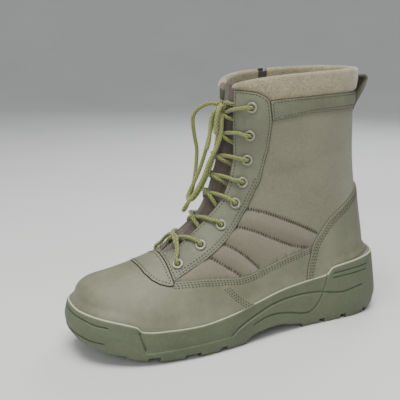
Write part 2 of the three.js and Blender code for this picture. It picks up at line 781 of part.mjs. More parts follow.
// The back strip, its half width grown by a margin.
function backStrip(margin) {
  const half = BACKSTAY_WIDTH / 2 + margin;
  return box(FAR, 2 * half, FAR, FAR / 2 + STRIP_FROM * SOLE_LENGTH, 0, FAR / 2);
}

function makeBackstay() {
  const outline = [...counterHigh.slice(2), ...[...padLine].reverse().slice(0, 3)];
  return panel(outline, 0).intersect(backStrip(-GAP / 2));
}

const bandOutline = [...bandLine, ...[...padLine].reverse()];

function makeBand() {
  return panel(bandOutline, -1).subtract(backStrip(GAP / 2));
}

// Padded collar, rolled over the rim of the upper. The zip parts it on the medial side.
function makeCollar(part) {
  const front = stayRear.slice(-3);
  const outline = [
    [toeEnd, stayTop[1][1]], ...[...stayTop].reverse(), ...[...front].reverse(), ...padLine.slice(1),
    [heelEnd, FAR], [toeEnd, FAR],
  ];
  const roll = last(collarOuter).subtract(last(collarInner));
  const sleeve = last(GAP).subtract(last(-UPPER_WALL - GAP)).subtract(above(shellRim(GAP)));
  const cut = sidePrism(drawnIn(outline, GAP / 2), -FAR, FAR);
  const whole = roll.intersect(cut).subtract(above(rimLine)).subtract(throat(0)).subtract(sleeve);
  const half = SLIDER_WIDTH / 2 + GAP + SLIDER_ROOM;
  const split = box(2 * half, FAR, FAR, ZIP_X, FAR / 2, FAR / 2);
  const ahead = box(FAR, FAR, FAR, ZIP_X - FAR / 2, FAR / 2, FAR / 2);
  return part === 'front' ? whole.intersect(ahead).subtract(split) : whole.subtract(ahead).subtract(split);
}

// Zip, on the medial side
const tapeOuter = GAP + TAPE;
const chainInner = tapeOuter + GAP;
const chainOuter = chainInner + CHAIN;
const zipFoot = level(ZIP_FOOT);

function zipStrip(width, inner, outer, fromZ, toZ) {
  const half = width / 2;
  const outline = [[ZIP_X - half, fromZ], [ZIP_X + half, fromZ], [ZIP_X + half, toZ], [ZIP_X - half, toZ]];
  const cut = sidePrism(outline, 0, FAR);
  return layer(inner, outer).intersect(cut).subtract(above(rimLine));
}

function makeTape() {
  return zipStrip(TAPE_WIDTH, GAP, tapeOuter, zipFoot, along(padLine, ZIP_X - TAPE_WIDTH / 2) - GAP);
}

function makeChain() {
  return zipStrip(CHAIN_WIDTH, chainInner, chainOuter, zipFoot, FAR);
}

// Storm tab, a flap that steps over the zip below the collar.
function makeTab() {
  const front = TAB_FRONT * SOLE_LENGTH;
  const rear = TAB_REAR * SOLE_LENGTH;
  const foot = [front, ZIP_X, rear].map((x) => [x, along(bandLine, x) - TAB_LAP]);
  const head = [rear, ZIP_X, front].map((x) => [x, along(padLine, x) - GAP / 2]);
  const outline = [...foot, ...head];
  const step = chainOuter + GAP;
  const zone = (half) => box(2 * half, FAR, FAR, ZIP_X, FAR / 2, FAR / 2);
  const half = TAPE_WIDTH / 2;
  const over = zone(half + TAB_SIDE);
  const bridge = panel(outline, 1, step + PANEL, step).intersect(over);
  const posts = panel(outline, 1, step + PANEL, GAP).intersect(over).subtract(zone(half + GAP));
  const ends = panel(outline, 1).subtract(zone(half + GAP));
  return joined([bridge, posts, ends]);
}

function makeRearBand() {
  const front = TAB_REAR * SOLE_LENGTH + GAP;
  const ahead = box(FAR, FAR, FAR, front - FAR / 2, FAR / 2, FAR / 2);
  return panel(bandOutline, 1).subtract(backStrip(GAP / 2)).subtract(ahead);
}

// The slider and its pull are drawn with x across the zip, y up it and z out of the boot.
const plateTop = SLIDER_PLATE;
const pinHeight = plateTop + PULL_PIN;

function makeSlider() {
  const plate = box(SLIDER_WIDTH, SLIDER_LENGTH, SLIDER_PLATE, 0, 0, SLIDER_PLATE / 2);
  const bar = box(BRIDGE_WIDTH, BRIDGE_SPAN, BRIDGE_BAR, 0, 0, plateTop + BRIDGE_RISE - BRIDGE_BAR / 2);
  const legs = [-1, 1].map((end) => box(
    BRIDGE_WIDTH, BRIDGE_BAR, BRIDGE_RISE + BRIDGE_SINK, 0, end * (BRIDGE_SPAN - BRIDGE_BAR) / 2,
    plateTop + (BRIDGE_RISE - BRIDGE_SINK) / 2,
  ));
  return joined([plate, bar, ...legs]);
}

// The pull turns about its pin, which lies along x through the origin.
function makePull() {
  const radius = PULL_THICK / 2;
  const pin = new THREE.CylinderGeometry(radius, radius, PULL_WIDTH, 10);
  pin.rotateZ(Math.PI / 2);
  const armX = (PULL_WIDTH - PULL_ARM) / 2;
  const armLength = PULL_REACH + PULL_LAP;
  const arms = [-1, 1].map((hand) => box(PULL_ARM, armLength, PULL_THICK, hand * armX, -armLength / 2, 0));
  const tab = box(PULL_WIDTH, PULL_LENGTH - PULL_REACH, PULL_THICK, 0, -(PULL_LENGTH + PULL_REACH) / 2, 0);
  return joined([solid(pin), ...arms, tab]);
}

// The frame of the slider on the chain, near the top of the zip.
function sliderFrame() {
  const target = along(rimLine, ZIP_X) - SLIDER_LENGTH / 2 - SLIDER_DROP;
  const [lowest, step] = [12, 0.02];
  let best = null;
  for (let station = lowest; station <= LAST_TOP; station += step) {
    const turn = turnOver(station, ZIP_X);
    const miss = Math.abs(lastPoint(station, turn).z - target);
    if (!best || miss < best.miss) {
      best = { station, turn, miss };
    }
  }
  const out = lastNormal(best.station, best.turn);
  const across = new THREE.Vector3(-1, 0, 0).addScaledVector(out, out.x).normalize();
  const up = out.clone().cross(across).normalize();
  const seat = surface(best.station, best.turn, chainOuter + GAP);
  return new THREE.Matrix4().makeBasis(across, up, out).setPosition(seat);
}

// The turn on the medial side that lies over a place along x.
function turnOver(station, x) {
  let [low, high] = [0.05, 0.95];
  for (let i = 0; i < 30; i += 1) {
    const middle = (low + high) / 2;
    if (lastPoint(station, middle).x < x) {
      low = middle;
    } else {
      high = middle;
    }
  }
  return low;
}

// Tongue, which lies inside the throat and stands out of it a little between its edges.
function tongueBody(margin) {
  const rings = [];
  const girth = THROAT_HALF + TONGUE_LAP;
  for (let step = 0; step <= TONGUE_STEPS; step += 1) {
    const station = TONGUE_FROM + ((TONGUE_TO - TONGUE_FROM) * step) / TONGUE_STEPS;
    const outside = [];
    const inside = [];
    for (let k = 0; k <= TONGUE_ACROSS; k += 1) {
      const place = (2 * k) / TONGUE_ACROSS - 1;
      const turn = place === 0 ? 0 : turnAt(station, Math.abs(place) * girth, Math.sign(place));
      const open = Math.max(1 - (Math.abs(place) * girth) / (THROAT_HALF - TONGUE_EDGE), 0);
      const resting = -(UPPER_WALL + 2 * GAP);
      const raised = resting + (along(TONGUE_BULGE, station) - resting) * Math.min(TONGUE_SWELL * open, 1);
      const taper = TONGUE * (1 - TONGUE_TAPER * place ** 4);
      outside.push(surface(station, turn, raised + margin));
      inside.push(surface(station, turn, raised - taper));
    }
    rings.push([...outside, ...inside.reverse()]);
  }
  return loft(rings);
}

function makeTongue() {
  const upperRoom = last(TONGUE_ROOM).subtract(last(-(UPPER_WALL + GAP))).subtract(throat(-TONGUE_SLACK));
  return tongueBody(0).subtract(upperRoom).subtract(collarRoom());
}

// Room that the collar's lining takes inside the rim.
function collarRoom() {
  const foot = stayRear[stayRear.length - 1][1] - GAP;
  const line = [[toeEnd, foot], [FAR, foot]];
  return last(TONGUE_ROOM).subtract(last(collarInner - GAP)).intersect(above(line))
    .subtract(throat(-TONGUE_SLACK));
}

function makeInsole() {
  const top = floorLine(GAP + INSOLE);
  return last(-(UPPER_WALL + GAP)).intersect(aboveFloor).subtract(above(top));
}

// Sole: one moulding with its rim, lugs, channels, arch and side lines.
function makeSole() {
  const body = soleBody(0);
  const cavity = last(panelOuter + GAP).intersect(above(floorLine(0)));
  const lines = joined(SOLE_LINES.map((line) => sidePrism(ribbon(soleLine(line), LINE_WIDTH), -FAR, FAR)));
  const wallPanel = sidePrism(soleLine(WALL_PANEL), -FAR, FAR).subtract(soleBody(BUMPER_STEP));
  return body
    .subtract(lines.subtract(soleBody(LINE_DEPTH)))
    .subtract(wallPanel)
    .subtract(joined([...notches(), ...channels(), archHollow()]))
    .subtract(cavity);
}

// Notches across the sole, bent forward in the middle as the lugs are.
function notches() {
  return NOTCHES.map(([share, width]) => {
    const x = share * SOLE_LENGTH;
    const front = x - (width * LUG_NOTCH) / 2;
    const back = x + (width * LUG_NOTCH) / 2;
    const outline = [
      [front, -FAR], [back, -FAR], [back, -CHANNEL_Y], [back - CHEVRON, 0], [back, CHANNEL_Y], [back, FAR],
      [front, FAR], [front, CHANNEL_Y], [front - CHEVRON, 0], [front, -CHANNEL_Y],
    ];
    return planPrism(outline, -1, soleHeight('ground', x) + LUG_DEPTH);
  });
}

// Channels along the forefoot and the heel.
function channels() {
  return CHANNEL_RUNS.flatMap(([fromShare, toShare]) => [-1, 1].map((hand) => {
    const count = 8;
    const roof = [];
    for (let i = 0; i <= count; i += 1) {
      const x = (fromShare + ((toShare - fromShare) * i) / count) * SOLE_LENGTH;
      roof.push([x, soleHeight('ground', x) + LUG_DEPTH]);
    }
    const outline = [...roof, [toShare * SOLE_LENGTH, -1], [fromShare * SOLE_LENGTH, -1]];
    const middle = hand * CHANNEL_Y;
    return sidePrism(outline, middle - CHANNEL / 2, middle + CHANNEL / 2);
  }));
}

function archHollow() {
  const roof = ARCH.map(([x, z]) => [x * SOLE_LENGTH, z * ARCH_RISE]);
  const [start, end] = [roof[0][0], roof[roof.length - 1][0]];
  return sidePrism([...roof, [end, -1], [start, -1]], -FAR, FAR);
}

// Laces
function tube(points, radius, sides, steps) {
  const places = points.map((p) => (Array.isArray(p) ? new THREE.Vector3(...p) : p));
  const curve = new THREE.CatmullRomCurve3(places);
  const ring = new THREE.Shape(Array.from({ length: sides }, (_, k) => {
    const angle = (2 * Math.PI * k) / sides;
    return new THREE.Vector2(radius * Math.cos(angle), radius * Math.sin(angle));
  }));
  return solid(new THREE.ExtrudeGeometry(ring, { steps, extrudePath: curve, bevelEnabled: false }));
}

// The middle of the lace where it crosses the ridge, and over an eyelet and its stay.
function laceMiddle(station) {
  const rise = Math.max(along(TONGUE_BULGE, station) + GAP + LACE_LIFT, LACE_LOWEST) + LACE / 2;
  return surface(station, 0, rise);
}

function overEyelet(index, hand) {
  const { station, turn } = eyeletPlace(index, hand);
  return surface(station, turn, panelOuter + 2 * GAP + EYELET_CROWN + LACE / 2);
}

function overStay(index, hand, towards) {
  const { station, girth } = eyeletPlace(index, hand);
  const at = station + towards;
  const turn = turnAt(at, (THROAT_HALF + girth) / 2, hand);
  return surface(at, turn, panelOuter + GAP + LACE / 2 + LACE_OVER_STAY);
}

// Where a strand dives under the far stay.
function diving(station, hand) {
  const turn = turnAt(station, THROAT_HALF - LACE / 2 - GAP, hand);
  return surface(station, turn, LACE_DIVE);
}

const edgeRoom = last(panelOuter + GAP).subtract(throat(-GAP));

function strands(routes) {
  return joined(routes.map((points) => tube(points, LACE / 2, LACE_SIDES, LACE_STEPS)))
    .subtract(edgeRoom)
    .subtract(tongueBody(GAP))
    .subtract(eyeletRoom)
    .subtract(knotSolid(GAP));
}

// Two strands leave a pair of eyelets, cross over the tongue and dive under the far stays.
function makeCross(index) {
  const low = eyeletPlace(index, 1).station;
  const rise = eyeletPlace(index + 1, 1).station - low;
  const [stay, middle, dive] = STRAND_SHARES.map((share) => rise * share);
  return strands([-1, 1].map((hand) => [
    overEyelet(index, hand), overStay(index, hand, stay), laceMiddle(low + middle), diving(low + dive, -hand),
  ]));
}

// The strands from the top eyelets to the knot.
function makeTopStrand(hand) {
  const index = EYELETS - 1;
  const [x, y, z] = KNOT_PLACE;
  const [back, aside, up] = KNOT_GRIP;
  const end = [x + back * KNOT, y + hand * aside * KNOT, z + up * KNOT];
  return strands([[overEyelet(index, hand), overStay(index, hand, TOP_STEP), end]]);
}

function knotSolid(margin) {
  const ball = new THREE.SphereGeometry(KNOT + margin, 10, 6);
  ball.translate(...KNOT_PLACE);
  return solid(ball);
}

function makeCord(route) {
  return tube(route, LACE / 2, BOW_SIDES, Math.round(route.length * BOW_STEPS)).subtract(knotSolid(GAP));
}

// Pull loop of webbing behind the collar: out is how far the line stands behind the last.
function makePullLoop() {
  const back = lastPoint(LAST_TOP - 1, 1).x;
  const line = LOOP_LINE.map(([out, z]) => [back + out, level(z)]);
  const padFoot = padLine[5][1] - GAP;
  const pad = last(collarOuter + GAP).intersect(above([[0, padFoot], [FAR, padFoot]]));
  return sidePrism(ribbon(line, STRAP), -STRAP_WIDTH / 2, STRAP_WIDTH / 2)
    .subtract(last(panelOuter + GAP))
    .subtract(pad);
}

// Materials
function finish(color, roughness, metalness = 0) {
  return new THREE.MeshStandardMaterial({ color, roughness, metalness });
}
const leather = finish(0x82846e, 0.6);
const nylon = finish(0x878270, 0.85);
const suede = finish(0x968c6e, 0.95);
const rubber = finish(0x646c4e, 0.7);
const webbing = finish(0x5c604c, 0.85);
const foam = finish(0x3c3a34, 0.95);
const lacing = finish(0x8c965a, 0.8);
const enamel = finish(0x6f7560, 0.4, 0.5);
const zipMetal = finish(0x4a4c50, 0.35, 0.9);
const zipTape = finish(0x3c3640, 0.9);

const boot = new THREE.Group();

function addPart(name, made, material, parent = boot) {
  const mesh = new THREE.Mesh(made.isBufferGeometry ? made : geometryOf(made), material);
  mesh.name = name;
  parent.add(mesh);
  return mesh;
}

addPart('outsole', makeSole(), rubber);
addPart('insole', makeInsole(), foam);
addPart('upper', makeUpper(), nylon);
addPart('tongue', makeTongue(), nylon);
addPart('vamp', makeVamp(), leather);
addPart('throat_apron', makeApron(), leather);
addPart('eyestay_lateral', makeStay(-1), leather);
addPart('eyestay_medial', makeStay(1), leather);
addPart('counter', makeCounter(), leather);
addPart('backstay', makeBackstay(), webbing);
addPart('collar_pad', makeCollar('rear'), suede);
addPart('collar_pad_medial', makeCollar('front'), suede);
addPart('collar_band_lateral', makeBand(), leather);
addPart('collar_band_medial', makeRearBand(), leather);
addPart('storm_tab', makeTab(), leather);
addPart('zip_tape', makeTape(), zipTape);
addPart('zip_chain', makeChain(), zipTape);
addPart('pull_loop', makePullLoop(), webbing);

// Slider and pull share a frame on the chain.
const sliderGroup = new THREE.Group();
sliderGroup.applyMatrix4(sliderFrame());
boot.add(sliderGroup);
addPart('zip_slider', makeSlider(), zipMetal, sliderGroup);
const pull = addPart('zip_pull', makePull(), zipMetal, sliderGroup);
pull.position.z = pinHeight;

// Eyelets, one shape placed along both stays
const eyeletProfile = [
  [EYELET_BORE, -UPPER_WALL + GAP], [EYELET_BARREL, -UPPER_WALL + GAP], [EYELET_BARREL, panelOuter + GAP],
  [EYELET_FLANGE, panelOuter + GAP], [EYELET_FLANGE - EYELET_ROUND, panelOuter + GAP + EYELET_CROWN],
  [EYELET_BORE, panelOuter + GAP + EYELET_CROWN], [EYELET_BORE, -UPPER_WALL + GAP],
].map(([r, z]) => new THREE.Vector2(r, z));
const eyeletShape = new THREE.LatheGeometry(eyeletProfile, 8);
for (const [hand, word] of [[-1, 'lateral'], [1, 'medial']]) {
  for (let i = 0; i < EYELETS; i += 1) {
    const { station, turn, out } = eyeletPlace(i, hand);
    const eyelet = addPart(`eyelet_${word}_${i + 1}`, eyeletShape, enamel);
    eyelet.position.copy(lastPoint(station, turn));
    eyelet.quaternion.setFromUnitVectors(new THREE.Vector3(0, 1, 0), out);
  }
}

for (let i = 0; i + 1 < EYELETS; i += 1) {
  addPart(`lace_cross_${i + 1}`, makeCross(i), lacing);
}
addPart('lace_top_lateral', makeTopStrand(-1), lacing);
addPart('lace_top_medial', makeTopStrand(1), lacing);
addPart('lace_knot', knotSolid(0), lacing);
addPart('lace_bow_long', makeCord(BOW_LOOP_LONG), lacing);
addPart('lace_bow_short', makeCord(BOW_LOOP_SHORT), lacing);
addPart('lace_end_long', makeCord(LACE_END_LONG), lacing);
addPart('lace_end_short', makeCord(LACE_END_SHORT), lacing);

export default boot;
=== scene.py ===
"""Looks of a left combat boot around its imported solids. Toe towards -X, lateral side -Y, +Z up."""

import math

import bmesh
import bpy
import numpy as np
from mathutils import Matrix, Vector


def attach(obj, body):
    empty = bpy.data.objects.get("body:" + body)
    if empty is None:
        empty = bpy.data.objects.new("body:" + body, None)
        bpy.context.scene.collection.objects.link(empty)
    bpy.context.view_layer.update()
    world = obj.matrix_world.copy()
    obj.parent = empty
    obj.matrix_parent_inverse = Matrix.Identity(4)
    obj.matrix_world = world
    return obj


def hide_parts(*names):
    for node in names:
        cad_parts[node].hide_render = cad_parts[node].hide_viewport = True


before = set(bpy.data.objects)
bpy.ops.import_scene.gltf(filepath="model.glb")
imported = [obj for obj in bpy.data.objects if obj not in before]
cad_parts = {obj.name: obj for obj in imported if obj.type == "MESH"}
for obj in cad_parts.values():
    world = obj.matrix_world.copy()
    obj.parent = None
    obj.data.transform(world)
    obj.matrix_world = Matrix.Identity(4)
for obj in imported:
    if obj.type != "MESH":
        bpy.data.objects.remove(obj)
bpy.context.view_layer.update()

MM = 0.001
PHOTO = 400

# Overall sizes in millimetres, as in the solids.
SOLE_LENGTH = 315.0
BALL_WIDTH = 109.0
INSTEP_HEIGHT = 110.0
BOOT_HEIGHT = 241.0
RIM_HEIGHT = 60.0
FLOOR_HEIGHT = 30.0
TOE_SPRING = 13.0
SIDE_TUCK = 4.5
TOE_TUCK = 17.0
HEEL_TUCK = 9.0
UPPER_WALL = 2.2
PANEL = 1.5
COLLAR_PAD = 2.6
GAP = 0.3
THROAT_HALF = 12.0
EYELETS = 8
EYELET_INSET = 15.0
EYELET_FLARE = 3.5
LACE = 4.2
LACE_OVER = 2.1 + LACE / 2
FREE_LACE = LACE * 0.86
TIGHT_LACE = LACE * 0.84
BRAID_TURN = 7.0
ZIP_X = 52.0
ZIP_SLOT_HALF = 5.3
BACKSTAY_WIDTH = 14.0
BACK_GIRTH = 110

# Shares of the sole's length or of the ball's width.
END_SHARE = 0.45
TAB_FRONT = 0.058
TAB_REAR = 0.29
BACK_FROM = 0.25
APRON_RIDGE = 0.034

# Stations of the last, and millimetres from one to the next ahead of the throat.
THROAT_FROM = 4.95
THROAT_ROUND = 0.45
FIRST_EYELET = 5.15
LAST_EYELET = 14.15
THROAT_STEP = 24.0

# Distances that stand for nowhere near.
FAR = 50.0
FAR_OUT = 90.0
NOT_APRON = -60.0

# Counts of the finer meshes.
COLLAR_COLUMNS = 240
EYELET_SIDES = 36
WALL_COLUMNS = 760
WALL_LEVELS = 70
FLOOR_SIDES = 64

# Stitches, and how far in from an edge or seam their rows run.
STITCH_LENGTH = 1.9
STITCH_PITCH = 3.0
STITCH_RISE = 0.12
STITCH_RADIUS = 0.46
STITCH_PROFILE = [(-0.5, 0.25), (-0.3, 0.9), (0.0, 1.0), (0.3, 0.9), (0.5, 0.25)]
QUILT_STITCH = 3.3
EDGE_ROWS = (0.3, 0.75, 1.3, 2.1, 3.0, 3.9, 5.1)
VAMP_ROWS = (2.1, 4.0, 5.9)
FOXING_ROWS = (2.2, 4.2, 6.2)
COUNTER_ROWS = (2.1, 3.8, 5.5, 7.2)
TAB_ROWS = (2.1, 3.9)
STAY_ROW_TOP = 145.0

# Creases: x, level, half length, half width, lean, depth.
VAMP_CREASES = [
    [-0.18, 0.42, 20, 2.2, 118, 0.55], [-0.15, 0.4, 24, 2.4, 112, 0.5], [-0.21, 0.44, 16, 2.0, 124, 0.35],
    [-0.1, 0.38, 14, 2.6, 108, 0.3],
]
FABRIC_CREASES = [
    [0.1, 1.3, 26, 5, 12, 0.5], [0.2, 1.12, 22, 5, -20, 0.5], [0.26, 1.42, 22, 6, 8, 0.4],
    [0.15, 1.55, 26, 6, -6, 0.35], [0.31, 1.2, 14, 4, 28, 0.4], [0.08, 1.14, 16, 4, -30, 0.4],
]

# Section of an eyelet ring: radius, height, wear.
EYELET_PROFILE = [
    (2.35, -1.9, 0), (2.9, -1.9, 0), (2.95, 1.7, 0), (3.4, 2.05, 0), (4.7, 2.05, 0.1), (4.95, 2.3, 0.3),
    (4.85, 2.65, 0.7), (4.3, 2.95, 1), (3.6, 3.05, 1), (2.95, 2.85, 0.8), (2.45, 2.4, 0.4), (2.35, 1.6, 0),
]

# Steps of the sole's lip inwards: inset, drop, painted highlight.
LIP_STEPS = (
    (0.35, -0.3, 1), (0.9, -0.35, 1), (1.5, -0.1, 0.5), (2.4, 0.25, 0), (4.5, 0.4, 0), (7.0, 0.7, 0),
)

# Section of the stage's floor in metres: radius, height.
FLOOR_PROFILE = [(0.01, 0), (2.4, 0), (2.9, 0.06), (3.4, 0.25), (3.8, 0.6), (4.0, 1.1), (4.05, 1.7)]

# Sections of the last: frontX, frontZ, backX, backZ, outer, inner, ridge, wide, powers.
LAST_ROWS = [
    [-0.47, 0.4, -0.47, 0.4, 0.064, 0.064, 0.064, 0.5, 2, 2],
    [-0.46, 0.536, -0.46, 0.164, -0.11, 0.239, 0.064, 0.52, 2, 2.2],
    [-0.425, 0.595, -0.425, 0.073, -0.266, 0.367, 0.055, 0.6, 2.1, 2.6],
    [-0.362, 0.623, -0.362, 0.036, -0.376, 0.436, 0.046, 0.66, 2.1, 3],
    [-0.286, 0.682, -0.286, 0, -0.431, 0.45, 0.037, 0.7, 2, 3],
    [-0.225, 0.755, -0.203, -0.036, -0.445, 0.431, 0.028, 0.72, 1.9, 3],
    [-0.165, 0.891, -0.114, -0.055, -0.436, 0.399, 0.018, 0.74, 1.9, 3],
    [-0.113, 1.031, -0.013, -0.055, -0.404, 0.353, 0.009, 0.74, 1.9, 3],
    [-0.076, 1.153, 0.114, -0.055, -0.362, 0.339, 0, 0.72, 1.9, 2.9],
    [-0.057, 1.267, 0.26, -0.064, -0.339, 0.33, 0, 0.66, 1.95, 2.8],
    [-0.048, 1.366, 0.4, -0.073, -0.335, 0.326, 0, 0.58, 2, 2.6],
    [-0.041, 1.466, 0.448, 0.218, -0.33, 0.326, 0, 0.52, 2, 2.5],
    [-0.037, 1.565, 0.446, 0.564, -0.339, 0.33, 0, 0.5, 2.1, 2.3],
    [-0.033, 1.664, 0.419, 0.955, -0.367, 0.349, 0, 0.5, 2.2, 2.2],
    [-0.03, 1.771, 0.392, 1.29, -0.39, 0.381, 0, 0.5, 2.2, 2.2],
    [-0.027, 1.878, 0.381, 1.641, -0.408, 0.404, 0, 0.5, 2.2, 2.2],
    [-0.024, 1.992, 0.381, 2.008, -0.413, 0.413, 0, 0.5, 2.2, 2.2],
    [-0.021, 2.115, 0.381, 2.374, -0.417, 0.417, 0, 0.5, 2.2, 2.2],
]
LAST_TOP = len(LAST_ROWS) - 1

# Outline of the sole: x, outer, inner, rim, floor, ground.
SOLE_ROWS = [
    [-0.5, 0.073, 0.073, 0.75, 0.8, 1],
    [-0.495, -0.073, 0.22, 0.745, 0.79, 0.98],
    [-0.477, -0.202, 0.33, 0.735, 0.76, 0.9],
    [-0.442, -0.312, 0.417, 0.7, 0.7, 0.72],
    [-0.385, -0.406, 0.472, 0.63, 0.62, 0.45],
    [-0.362, -0.43, 0.486, 0.585, 0.6, 0.36],
    [-0.346, -0.443, 0.492, 0.51, 0.58, 0.3],
    [-0.292, -0.477, 0.5, 0.485, 0.55, 0.12],
    [-0.188, -0.5, 0.477, 0.475, 0.55, 0],
    [-0.091, -0.482, 0.417, 0.53, 0.62, 0],
    [0, -0.44, 0.372, 0.62, 0.73, 0],
    [0.091, -0.402, 0.365, 0.71, 0.84, 0],
    [0.179, -0.385, 0.372, 0.765, 0.93, 0],
    [0.243, -0.388, 0.382, 0.805, 0.98, 0],
    [0.259, -0.389, 0.384, 0.865, 0.98, 0],
    [0.276, -0.39, 0.386, 0.925, 1, 0],
    [0.364, -0.386, 0.386, 0.985, 1, 0],
    [0.435, -0.335, 0.344, 1.03, 1, 0.05],
    [0.474, -0.23, 0.245, 1.035, 1, 0.1],
    [0.495, -0.101, 0.115, 1.035, 1, 0.12],
    [0.5, 0.009, 0.009, 1.035, 1, 0.12],
]
# Bulge of the sole's side: rise, side, toe, heel.
WALL_ROWS = [
    [0, 1, 1, 1], [0.12, 0.35, 0.32, 0.3], [0.3, 0.06, 0.06, 0], [0.62, 0, 0, 0.45],
    [0.95, 0.28, 0.15, 0.9], [1, 0.52, 0.21, 1],
]

# Seams and edges in the side view: x as a share of the sole length, z as a level.
RIM_LINE = [
    [-0.13, 1.794], [-0.038, 1.817], [-0.029, 1.87], [-0.022, 1.897], [-0.012, 1.915], [0.013, 1.934],
    [0.047, 1.95], [0.093, 1.963], [0.146, 1.973], [0.258, 1.989], [0.349, 2], [0.54, 2],
]
STAY_REAR = [
    [-0.235, 0.582], [-0.145, 0.711], [-0.104, 0.784], [-0.072, 0.852], [-0.04, 0.94], [0, 1.079],
    [0.038, 1.26], [0.051, 1.466], [0.055, 1.656], [0.046, 1.794], [0.035, 1.822], [0.017, 1.847],
]
STAY_TOP = [[-0.025, 1.859], [-0.13, 1.863]]
PAD_LINE = [
    [0.046, 1.794], [0.082, 1.807], [0.124, 1.815], [0.187, 1.824], [0.262, 1.831], [0.397, 1.836],
    [0.54, 1.84],
]
BAND_LINE = [
    [0.055, 1.656], [0.077, 1.674], [0.098, 1.683], [0.157, 1.708], [0.225, 1.721], [0.312, 1.725],
    [0.54, 1.733],
]
VAMP_LINE = [
    [-0.235, 0.582], [-0.19, 0.586], [-0.159, 0.589], [-0.098, 0.575], [-0.054, 0.559], [-0.016, 0.564],
    [0.019, 0.586], [0.102, 0.65], [0.159, 0.691], [0.197, 0.718],
]
COUNTER_LOW = [[0.176, -0.1], [0.178, 0.409], [0.182, 0.527], [0.197, 0.718]]
COUNTER_HIGH = [
    [0.197, 0.718], [0.213, 0.791], [0.254, 0.936], [0.33, 1.073], [0.397, 1.16], [0.54, 1.198],
]
APRON_REAR = -0.24
APRON_EDGE = [
    [-0.24, 0.342], [-0.256, 0.335], [-0.277, 0.305], [-0.293, 0.255], [-0.304, 0.175], [-0.308, 0],
]
# Sewn channels of the quilted side, and the seam where the foxing joins the vamp.
QUILT_LINES = [
    [[-0.02, 1.075], [0.05, 1.03], [0.11, 0.965], [0.16, 0.9], [0.215, 0.82]],
    [[-0.05, 0.955], [0.01, 0.9], [0.08, 0.805], [0.13, 0.74], [0.185, 0.7]],
    [[-0.085, 0.83], [-0.05, 0.77], [-0.015, 0.69], [0.018, 0.595]],
    [[-0.13, 0.74], [-0.09, 0.66], [-0.06, 0.6], [-0.043, 0.556]],
]
FOXING_SEAM = [[-0.125, 0.66], [-0.088, 0.521], [-0.058, 0.425], [-0.022, 0.342], [0.03, 0.23]]
TONGUE_BULGE = [[4.6, -2.5], [5.4, -1.5], [7, 1.5], [8.5, 5], [10, 4], [12, 1.5], [14, 0], [15.1, 0]]

# Lines cut into the side of the sole: x of the sole length, z of the rim height.
SOLE_LINES = [
    [[-0.094, 0.215], [-0.067, 0.315], [-0.034, 0.385], [0.003, 0.45], [0.045, 0.515], [0.107, 0.56],
     [0.165, 0.568], [0.226, 0.547], [0.28, 0.498], [0.312, 0.487], [0.341, 0.513], [0.381, 0.542]],
    [[0.25, 0.84], [0.237, 0.592], [0.227, 0.475], [0.209, 0.332], [0.187, 0.253], [0.159, 0.258],
     [0.101, 0.335], [0.054, 0.368], [0.023, 0.358], [-0.019, 0.297]],
    [[-0.357, 0.52], [-0.343, 0.247]],
    [[0.272, 0.82], [0.403, 0.87]],
    [[0.27, 0.745], [0.396, 0.785]],
]
TOE_LINES = [
    [[-0.52, 0.665], [-0.484, 0.665], [-0.459, 0.618], [-0.432, 0.595]],
    [[-0.52, 0.42], [-0.489, 0.417], [-0.47, 0.385], [-0.443, 0.365]],
]
WALL_PANEL = [
    [-0.356, 0.62], [-0.343, 0.2], [-0.094, 0.215], [-0.067, 0.315], [-0.034, 0.385], [0.003, 0.45],
    [0.045, 0.515], [0.107, 0.56], [0.165, 0.568], [0.23, 0.547], [0.237, 0.592], [0.25, 1.2],
    [-0.1, 1.2], [-0.356, 1.2],
]
NOTCHES = [
    [-0.464, 0.36], [-0.4, 0.52], [-0.32, 0.71], [-0.212, 1], [-0.118, 0.5], [0.236, 0.47], [0.316, 0.47],
    [0.405, 0.36],
]
LUG_NOTCH = 14.0
LUG_DEPTH = 5.0
CHANNEL = 5.0
CHANNEL_Y = 17.0
CHEVRON = 9.0
CHANNEL_RUNS = [[-0.45, -0.06], [0.18, 0.45]]
ARCH = [
    [-0.044, 0], [-0.038, 0.48], [-0.009, 0.82], [0.045, 0.95], [0.084, 0.9], [0.162, 0.4], [0.165, 0],
]
ARCH_RISE = 11.0

# Routes of the bow and the free ends, in millimetres.
KNOT_PLACE = [-15.6, -1, 205]
KNOT = 4.6
KNOT_CORE = [[0.6, -4.2, 1.6], [-0.6, -1.2, 0.4], [-0.8, 1.4, -0.6], [0.4, 3.6, 0.8]]
STRAND_SAGS = (0, 0.04, -0.03, 0.05, -0.05, -0.02, 0.06, 0)
BOW_LOOP_LONG = [
    [-17, 1.2, 209.2], [-21, 5, 210], [-25.6, 10, 208.2], [-31.4, 14, 203.6], [-34.1, 16, 197.5],
    [-33.7, 17, 190], [-31.9, 18, 180], [-29.9, 18, 169], [-30.7, 17.5, 155.6], [-33, 16, 144],
    [-36.5, 14, 133], [-41, 11, 124], [-47, 6, 117.5], [-52, -1, 118], [-51, -6.5, 124.5], [-45, -9, 133.6],
    [-37.2, -10, 146.6], [-31, -10.6, 161.5], [-24.5, -10.8, 172.5], [-20, -10.8, 184.6],
    [-18.8, -9.8, 195], [-16.4, -5.4, 201.8],
]
BOW_LOOP_SHORT = [
    [-17, -1, 200.6], [-18.9, -2.6, 192], [-20, -4.4, 183.4], [-22, -5.2, 173.5], [-25, -5.7, 163],
    [-29.5, -6.1, 152], [-35, -6.5, 141.6], [-41.2, -6.3, 132.3], [-44.4, -4.1, 127.9], [-45.7, 1.3, 126.1],
    [-44.4, 6.7, 127.9], [-41.2, 8.9, 132.3], [-36, 9.1, 141.6], [-31, 8.7, 152.5], [-27, 7.8, 164.5],
    [-24, 6.6, 176.5], [-21.2, 5, 189], [-17.4, 2.6, 201.6],
]
